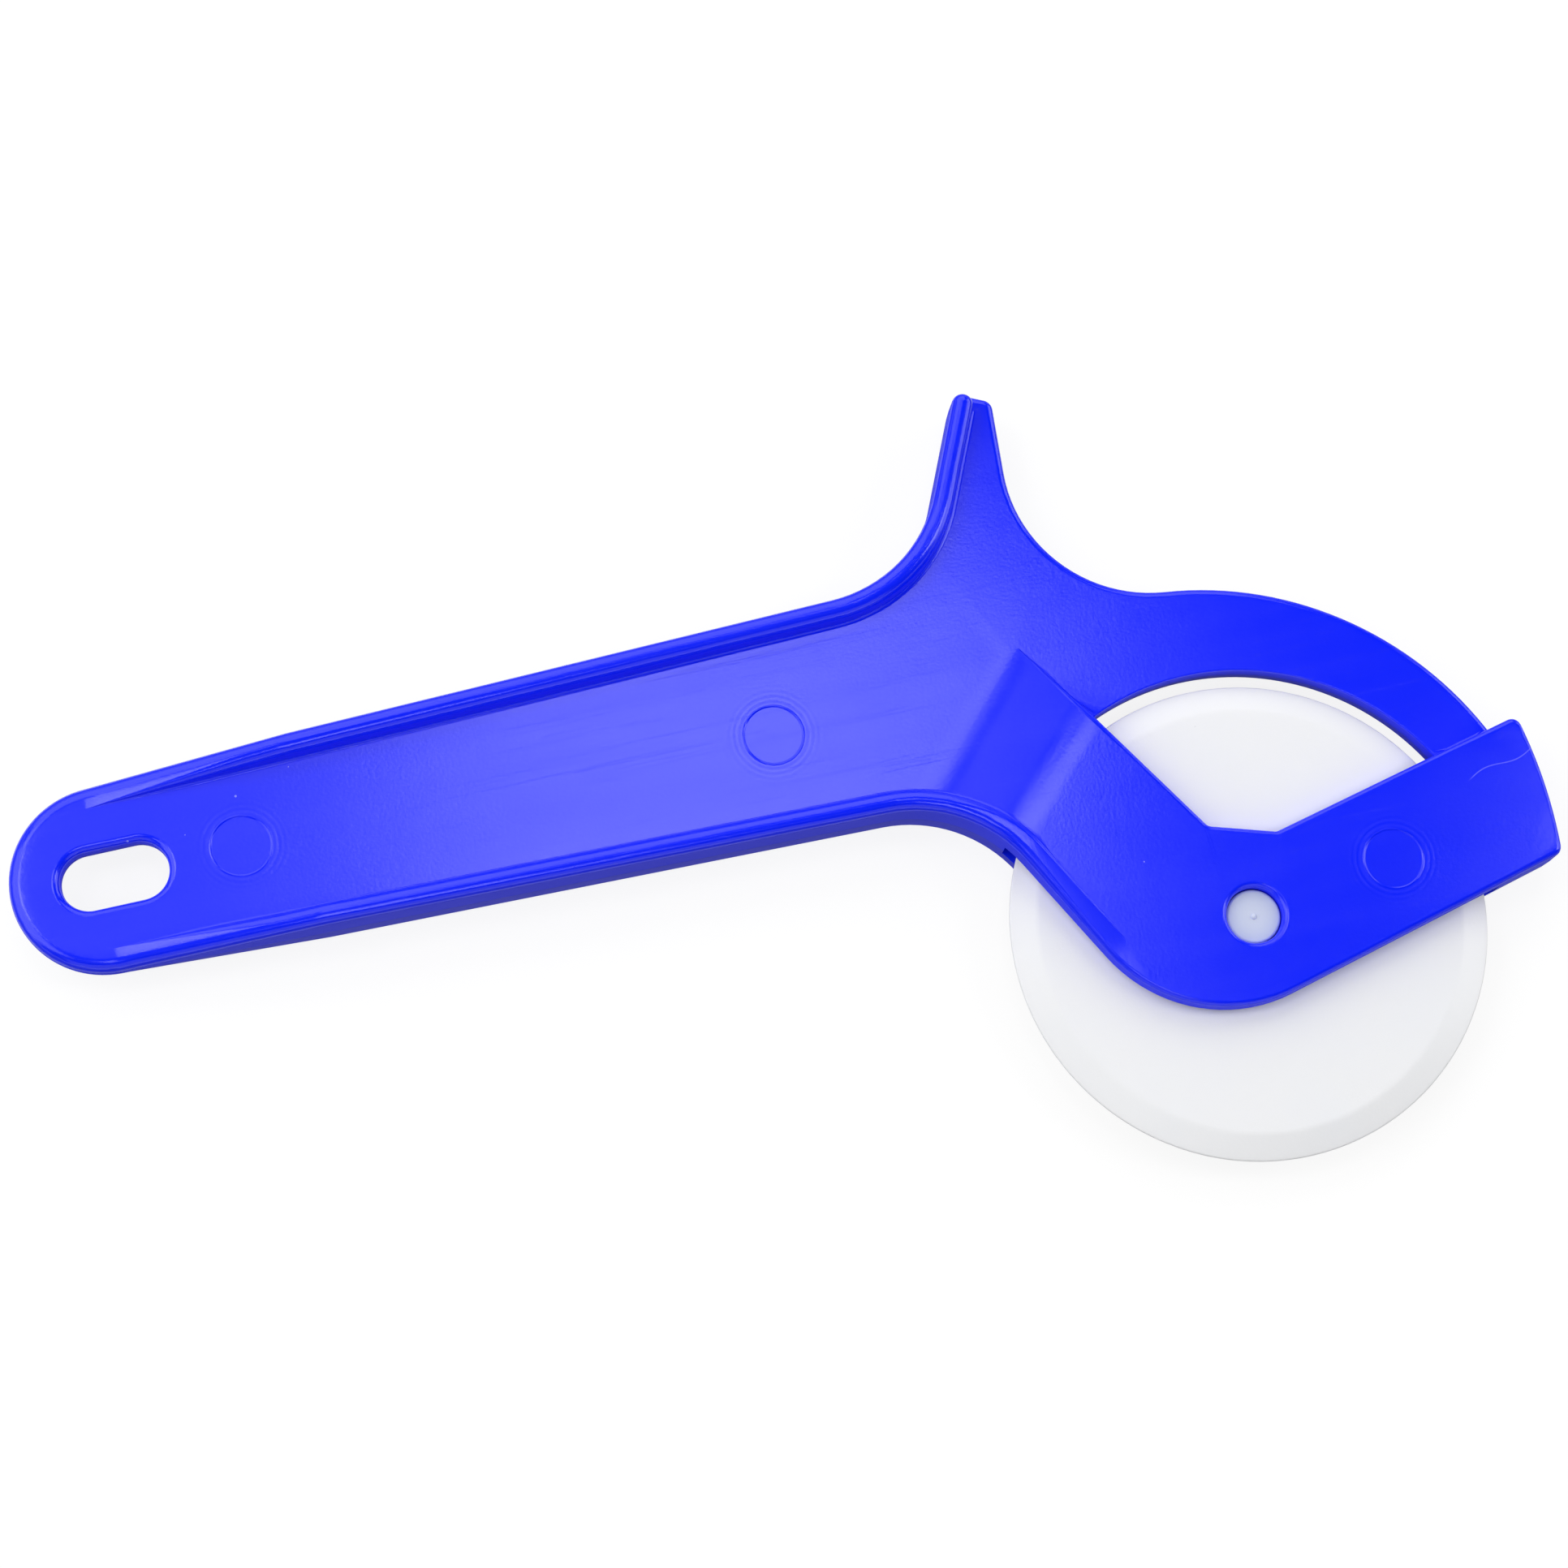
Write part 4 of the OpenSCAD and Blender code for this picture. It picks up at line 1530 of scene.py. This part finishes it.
@dataclass(frozen=True)
class HandlePlastic(Plastic):
    """Glossy blue, with the traces that the mould left and painted shade on the walls below the parting
    line. Places and sizes in metres.
    """

    flow_band: tuple[float, float] = (0.3, 0.8)
    flow_lift: float = 0.002
    parting: float = 0.0
    parting_width: float = 0.00007
    parting_core: float = 0.3
    parting_cover: float = 0.8
    parting_depth: float = 0.00003
    parting_deep: Colour = (0.6, 0.6, 0.55)
    wall_lean: tuple[float, float] = (0.1, 0.35)
    wall_rough: float = 0.5
    # painted shade: a darker, greyer blue for the walls below the parting line, and how much of it they get
    lower_wall_shade: Colour = (0.03, 0.035, 0.6)
    lower_shade_cover: float = 0.5
    weld_at: tuple[float, float] = (0.0, 0.0)
    weld_turn: float = 14.0
    weld_length: float = 0.0092
    weld_ends: tuple[float, float] = (0.42, 0.56)
    weld_sway: float = 0.00042
    weld_width: tuple[float, float] = (0.00003, 0.0001)
    weld_height: float = 0.000012
    weld_tone: Colour = (0.3, 0.32, 1.0)
    weld_cover: float = 0.35
    pins: tuple[tuple[float, float], ...] = ()
    pin_radius: float = 0.0038
    streak_turn: float = 9000.0  # radians for each metre outwards
    streak_spread: float = 1.9
    streak_rough: float = 0.06
    streak_height: float = 0.000003

    def build(self, effects: Effects) -> bpy.types.Material:
        """Makes the material.

        Args:
            effects: the shared groups.

        Returns:
            The material, ready to assign.
        """
        material, wiring, shader = self._shader()
        place = wiring.node("TexCoord").outputs["Object"]
        axes = wiring.node("SeparateXYZ", {"Vector": place}).outputs
        facing = wiring.node("SeparateXYZ", {"Vector": wiring.node("NewGeometry").outputs["True Normal"]})
        wall = wiring.ramp(wiring.math("ABSOLUTE", facing.outputs["Z"]), *self.wall_lean, 1.0, 0.0)
        # a mask of the walls below the parting line, which later get painted shade
        lower = wiring.math("MULTIPLY", wiring.math("LESS_THAN", axes["Z"], self.parting), wall)
        seam = wiring.math("ABSOLUTE", wiring.math("SUBTRACT", axes["Z"], self.parting))
        seam = wiring.ramp(seam, self.parting_width * self.parting_core, self.parting_width, 1.0, 0.0)
        flow = effects.place(wiring, Effect.FLOW, place)
        weld = self._weld(wiring, axes)
        streaks = self._pin_streaks(wiring, place)
        tone = self._tone(wiring, flow, lower, seam, weld)
        gloss = wiring.math("MULTIPLY_ADD", streaks, self.streak_rough, self._gloss(wiring, flow))
        gloss = wiring.math("MULTIPLY_ADD", wall, self.wall_rough, gloss)
        relief = wiring.math("MULTIPLY", weld, self.weld_height)
        relief = wiring.math("MULTIPLY_ADD", seam, -self.parting_depth, relief)
        relief = wiring.math("MULTIPLY_ADD", streaks, self.streak_height, relief)
        self._finish(wiring, shader, effects, place, tone, gloss, relief)
        return material

    def _tone(self, wiring: Wiring, flow: Feed, lower: Feed, seam: Feed, weld: Feed) -> bpy.types.NodeSocket:
        """Lays the mould's traces over the blue, and painted shade on the walls below the parting line.

        Args:
            wiring: the material's nodes.
            flow: the flow marks.
            lower: a mask of the walls below the parting line, where shade is painted.
            seam: a mask of the parting line.
            weld: a mask of the weld line.

        Returns:
            The colour before dust.
        """
        red, green, blue = self.colour
        pale = (red + self.flow_lift, green + self.flow_lift, blue)
        deep = tuple(c * share for c, share in zip(self.colour, self.parting_deep))
        tone = wiring.blend(wiring.ramp(flow, *self.flow_band), self.colour, pale)
        layers = (
            # painted shade on the walls below the parting line
            (lower, self.lower_shade_cover, self.lower_wall_shade),
            (seam, self.parting_cover, deep),
            (weld, self.weld_cover, self.weld_tone),
        )
        for mask, cover, over in layers:
            tone = wiring.blend(wiring.math("MULTIPLY", mask, cover), tone, over)
        return tone

    def _weld(self, wiring: Wiring, axes: bpy.types.NodeOutputs) -> bpy.types.NodeSocket:
        """The wavy line on the nose where two fronts of plastic met.

        Args:
            wiring: the material's nodes.
            axes: the place, split into its parts.

        Returns:
            A mask of the line.
        """
        x, y = (wiring.math("SUBTRACT", axes[name], at) for name, at in zip("XY", self.weld_at))
        cos, sin = heading(self.weld_turn)
        along = wiring.math("MULTIPLY_ADD", x, cos, wiring.math("MULTIPLY", y, sin))
        across = wiring.math("MULTIPLY_ADD", y, cos, wiring.math("MULTIPLY", x, -sin))
        wave = wiring.math("SINE", wiring.math("MULTIPLY", along, 2 * math.pi / self.weld_length))
        off = wiring.math("ABSOLUTE", wiring.math("MULTIPLY_ADD", wave, self.weld_sway, across))
        line = wiring.ramp(off, *self.weld_width, 1.0, 0.0)
        near, far = (self.weld_length * share for share in self.weld_ends)
        ends = wiring.ramp(wiring.math("ABSOLUTE", along), near, far, 1.0, 0.0)
        front = wiring.math("GREATER_THAN", axes["Z"], self.parting)
        return wiring.math("MULTIPLY", wiring.math("MULTIPLY", line, ends), front)

    def _pin_streaks(self, wiring: Wiring, place: Feed) -> bpy.types.NodeSocket:
        """Faint rings that spread round each ejector mark.

        Args:
            wiring: the material's nodes.
            place: the place.

        Returns:
            A value that rises and falls with the rings.
        """
        total: Feed = 0.0
        flat = wiring.vectors("MULTIPLY", place, (1.0, 1.0, 0.0))["Vector"]
        for x, y in self.pins:
            reach = wiring.vectors("DISTANCE", flat, (x, y, 0.0))["Value"]
            rings = wiring.math("SINE", wiring.math("MULTIPLY", reach, self.streak_turn))
            fade = wiring.ramp(reach, self.pin_radius, self.pin_radius * self.streak_spread, 1.0, 0.0)
            outside = wiring.math("GREATER_THAN", reach, self.pin_radius)
            total = wiring.math("MULTIPLY_ADD", wiring.math("MULTIPLY", rings, fade), outside, total)
        return total


@dataclass(frozen=True)
class WheelPlastic(Plastic):
    """Milky white, a little translucent, with faint turning marks and painted blue-grey shade on the stub
    ends in the bores. Places and sizes in metres.
    """

    axle: tuple[float, float, float] = (0.0, 0.0, 0.0)
    scatter: float = 0.25
    scatter_depth: float = 0.0012
    ring_scale: float = 4200.0
    ring_rough: float = 0.05
    ring_height: float = 0.000002
    cloud_scale: float = 70.0
    cloud_band: tuple[float, float] = (0.3, 0.75)
    cool: Colour = (0.985, 0.99, 1.0)
    # painted shade: the blue-grey of the stub ends inside the bores, the heights and reaches where it lies,
    # and how much of it the middle keeps
    stub_shade: Colour = (0.56, 0.62, 0.78)
    stub_shade_height: tuple[float, float] = (0.00126, 0.0018)
    stub_shade_reach: tuple[float, float] = (0.0018, 0.00476)
    stub_shade_middle: float = 0.75

    def build(self, effects: Effects) -> bpy.types.Material:
        """Makes the material.

        Args:
            effects: the shared groups.

        Returns:
            The material, ready to assign.
        """
        material, wiring, shader = self._shader()
        shader.inputs["Subsurface Weight"].default_value = self.scatter
        shader.inputs["Subsurface Radius"].default_value = (1.0, 1.0, 1.0)
        shader.inputs["Subsurface Scale"].default_value = self.scatter_depth
        place = wiring.node("TexCoord").outputs["Object"]
        spokes = wiring.vectors("SUBTRACT", place, self.axle)["Vector"]
        reach = wiring.vectors("LENGTH", spokes)["Value"]
        turned = {"W": reach, "Scale": self.ring_scale, "Detail": 2.0}
        rings = wiring.node("TexNoise", turned, noise_dimensions="1D").outputs["Fac"]
        scale = self.cloud_scale
        cloud = effects.place(wiring, Effect.FLOW, spokes, Along=scale, Across=scale)
        cool = tuple(c * share for c, share in zip(self.colour, self.cool))
        tone = wiring.blend(wiring.ramp(cloud, *self.cloud_band), self.colour, cool)
        # painted shade: the stub ends inside the bores are tinted blue-grey, a little less in the middle
        rise = wiring.node("SeparateXYZ", {"Vector": spokes}).outputs["Z"]
        stub = wiring.ramp(wiring.math("ABSOLUTE", rise), *self.stub_shade_height)
        edge = wiring.ramp(reach, *self.stub_shade_reach, self.stub_shade_middle, 1.0)
        tone = wiring.blend(wiring.math("MULTIPLY", stub, edge), tone, self.stub_shade)
        gloss = wiring.math("MULTIPLY_ADD", rings, self.ring_rough, self._gloss(wiring, cloud))
        relief = wiring.math("MULTIPLY", rings, self.ring_height)
        self._finish(wiring, shader, effects, place, tone, gloss, relief)
        return material


@dataclass(frozen=True)
class Lamp:
    """A soft lamp that faces the frame's origin. Places and sizes in metres."""

    name: str
    at: tuple[float, float, float]
    size: tuple[float, float]
    radiance: float


@dataclass
class Studio:
    """Floor, dark ceiling, lamps and the camera at the photographed angle."""

    camera_at: tuple[float, float, float] = (-49.92, -85.117, 424.57)
    camera_to: tuple[float, float, float] = (1.29, 7.973, 5.0)
    camera_up: tuple[float, float, float] = (0.23802, 0.97126, 0.0)
    lens: float = 77.86
    sensor: float = 36.0
    clip: tuple[float, float] = (0.01, 20.0)
    room: float = 0.4
    ceiling_height: float = 1.15
    ceiling_reach: float = 5.0
    ceiling_tone: float = 0.02
    floor_height: float = -0.0002
    floor_reach: float = 3.0
    floor_tone: float = 0.16
    floor_glow: float = 0.86
    floor_fade: tuple[float, float] = (0.35, 0.7)
    floor_rest: float = 0.1
    lamps: tuple[Lamp, ...] = (
        Lamp("mirror_box", (0.08, 0.193, 0.8), (0.23, 0.186), 4.1),
        Lamp("mirror_fill", (-0.135, 0.205, 0.8), (0.21, 0.3), 0.65),
        Lamp("mirror_left", (-0.38, 0.22, 0.8), (0.2, 0.24), 4.0),
        Lamp("mirror_wheel", (0.14, 0.03, 0.8), (0.12, 0.07), 2.4),
        Lamp("mirror_ramp", (-0.1, 0.46, 0.8), (0.12, 0.14), 1.7),
        Lamp("mirror_nose", (0.42, 0.09, 0.8), (0.05, 0.1), 4.6),
        Lamp("low_left", (-0.12, -0.3, 0.78), (0.28, 0.2), 3.4),
        Lamp("right_high", (0.65, -0.09, 0.62), (0.24, 0.26), 5.5),
        Lamp("left", (-0.74, 0.16, 0.56), (1.0, 0.9), 1.95),
        Lamp("right", (0.85, 0.12, 0.32), (0.8, 0.5), 2.2),
        Lamp("behind", (-0.05, 0.85, 0.6), (1.4, 0.8), 1.7),
        Lamp("front", (-0.1, -0.8, 0.36), (1.5, 0.6), 0.75),
    )

    def camera(self) -> None:
        """Makes the camera and hands it to the scene. Its places are in millimetres."""
        data = bpy.data.cameras.new("camera")
        data.lens = self.lens
        data.sensor_width = self.sensor
        data.clip_start, data.clip_end = self.clip
        camera = put_in_scene("camera", data)
        back = (Vector(self.camera_at) - Vector(self.camera_to)).normalized()
        right = Vector(self.camera_up).cross(back).normalized()
        turn = Matrix((right, back.cross(right), back)).transposed().to_4x4()
        camera.matrix_world = Matrix.Translation(Vector(self.camera_at) * MM) @ turn
        bpy.context.scene.camera = camera

    def lamp(self, lamp: Lamp) -> None:
        """Adds a soft lamp that faces the origin.

        Args:
            lamp: its name, place, size and radiance.
        """
        data = bpy.data.lights.new(lamp.name, "AREA")
        data.shape = "RECTANGLE"
        data.size, data.size_y = lamp.size
        data.energy = lamp.radiance * math.pi * lamp.size[0] * lamp.size[1]
        piece = put_in_scene(lamp.name, data)
        piece.location = lamp.at
        piece.rotation_mode = "QUATERNION"
        piece.rotation_quaternion = Vector(lamp.at).to_track_quat("Z", "Y")

    def _board(self, name: str, reach: float, height: float, faces: int) -> bpy.types.Material:
        """Stages a wide level board.

        Args:
            name: the board's name.
            reach: half of its width.
            height: how high it lies.
            faces: 1 where it faces up, -1 where it faces down.

        Returns:
            Its material, not yet filled.
        """
        corners = [(x * reach, y * reach * faces, height) for x, y in ((-1, -1), (1, -1), (1, 1), (-1, 1))]
        mesh = bpy.data.meshes.new(name)
        mesh.from_pydata(corners, [], [(0, 1, 2, 3)])
        material = bpy.data.materials.new(name)
        material.use_nodes = True
        mesh.materials.append(material)
        put_in_scene(name, mesh)
        return material

    def floor(self) -> None:
        """Adds the pale floor, which reads white and keeps the object's shadow."""
        tree = self._board("floor", self.floor_reach, self.floor_height, 1).node_tree
        tree.nodes.clear()
        wiring = Wiring(tree)
        facing = wiring.node("LayerWeight", {"Blend": 0.5}).outputs["Facing"]
        seen = self._seen(wiring, wiring.ramp(facing, *self.floor_fade, 1.0, self.floor_rest))
        matt = wiring.node("BsdfDiffuse", {"Color": (*(self.floor_tone,) * 3, 1.0)})
        glow = wiring.node("Emission", {"Strength": wiring.math("MULTIPLY", seen, self.floor_glow)})
        both = wiring.node("AddShader", (matt.outputs["BSDF"], glow.outputs["Emission"]))
        wiring.node("OutputMaterial", {"Surface": both.outputs["Shader"]})

    def ceiling(self) -> None:
        """Adds the studio's dark ceiling, which the glossy faces mirror round the lamps."""
        material = self._board("ceiling", self.ceiling_reach, self.ceiling_height, -1)
        shader = material.node_tree.nodes["Principled BSDF"]
        shader.inputs["Base Color"].default_value = (*(self.ceiling_tone,) * 3, 1.0)
        shader.inputs["Roughness"].default_value = 1.0
        shader.inputs["Specular IOR Level"].default_value = 0.0

    @staticmethod
    def _seen(wiring: Wiring, mirrored: Feed = 1.0) -> bpy.types.NodeSocket:
        """Where the white background shows.

        Args:
            wiring: the material's or the world's nodes.
            mirrored: how much of it mirrored rays see.

        Returns:
            One on rays from the camera and on see-through ones, that share on mirrored ones.
        """
        path = wiring.node("LightPath").outputs
        plain = wiring.math("ADD", path["Is Camera Ray"], path["Is Transmission Ray"])
        return wiring.math("MULTIPLY_ADD", path["Is Glossy Ray"], mirrored, plain, clamp=True)

    def world(self) -> None:
        """Lights the room evenly, white where the camera sees it."""
        world = bpy.data.worlds.new("world")
        bpy.context.scene.world = world
        world.use_nodes = True
        background = world.node_tree.nodes["Background"]
        background.inputs["Color"].default_value = (1.0, 1.0, 1.0, 1.0)
        wiring = Wiring(world.node_tree)
        strength = wiring.ramp(self._seen(wiring), 0.0, 1.0, self.room, 1.0)
        wiring.feed(background.inputs["Strength"], strength)

    def build(self) -> None:
        """Makes the whole studio."""
        self.camera()
        self.floor()
        self.ceiling()
        self.world()
        for lamp in self.lamps:
            self.lamp(lamp)


def smooth(piece: bpy.types.Object) -> None:
    """Shades a piece smooth round its small bends, with the flats kept flat.

    Args:
        piece: the piece.
    """
    mesh = piece.data
    mesh.polygons.foreach_set("use_smooth", [True] * len(mesh.polygons))
    mesh.set_sharp_from_angle(angle=math.radians(SMOOTH_ANGLE))
    weigh = piece.modifiers.new("weighted_normals", "WEIGHTED_NORMAL")
    weigh.keep_sharp = True
    weigh.weight = FLAT_WEIGHT


def dress(piece: bpy.types.Object, body: str, node: str, material: bpy.types.Material) -> None:
    """Finishes a piece and puts it on its body in place of its CAD node.

    Args:
        piece: the piece.
        body: the body that it moves with.
        node: the CAD node that it stands for.
        material: its material.
    """
    smooth(piece)
    piece.data.materials.clear()
    piece.data.materials.append(material)
    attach(piece, body)
    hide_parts(node)
    LOG.info("%s: %d faces", piece.name, len(piece.data.polygons))


def main() -> None:
    """Builds the cutter and its studio."""
    logging.basicConfig(level=logging.INFO, format="%(name)s: %(message)s")
    bpy.context.scene.view_settings.view_transform = "Standard"
    axle = Vector(frame["joints"][0]["pos_m"])
    Studio().build()
    effects = Effects()
    wheel = CuttingWheel()
    moulding = MouldedHandle(wheel_radius=wheel.radius)
    weld_at, *pins = (
        (axle.x + x * MM, axle.y + y * MM) for x, y in (moulding.weld, *moulding.mark_centres())
    )
    blue = HandlePlastic(
        name="blue_plastic", colour=(0.002, 0.015, 0.98), dusty=(0.35, 0.38, 0.9), roughness=0.14,
        parting=axle.z - moulding.parting_drop * MM, weld_at=weld_at, pins=tuple(pins),
    )
    white = WheelPlastic(
        name="white_plastic", colour=(0.86, 0.865, 0.88), dusty=(0.6, 0.6, 0.62), roughness=0.29,
        axle=tuple(axle),
    )
    dress(moulding.build(axle), "handle", "handle", blue.build(effects))
    dress(wheel.build(axle), "wheel", "cutting_wheel", white.build(effects))


if __name__ == "__main__":
    main()
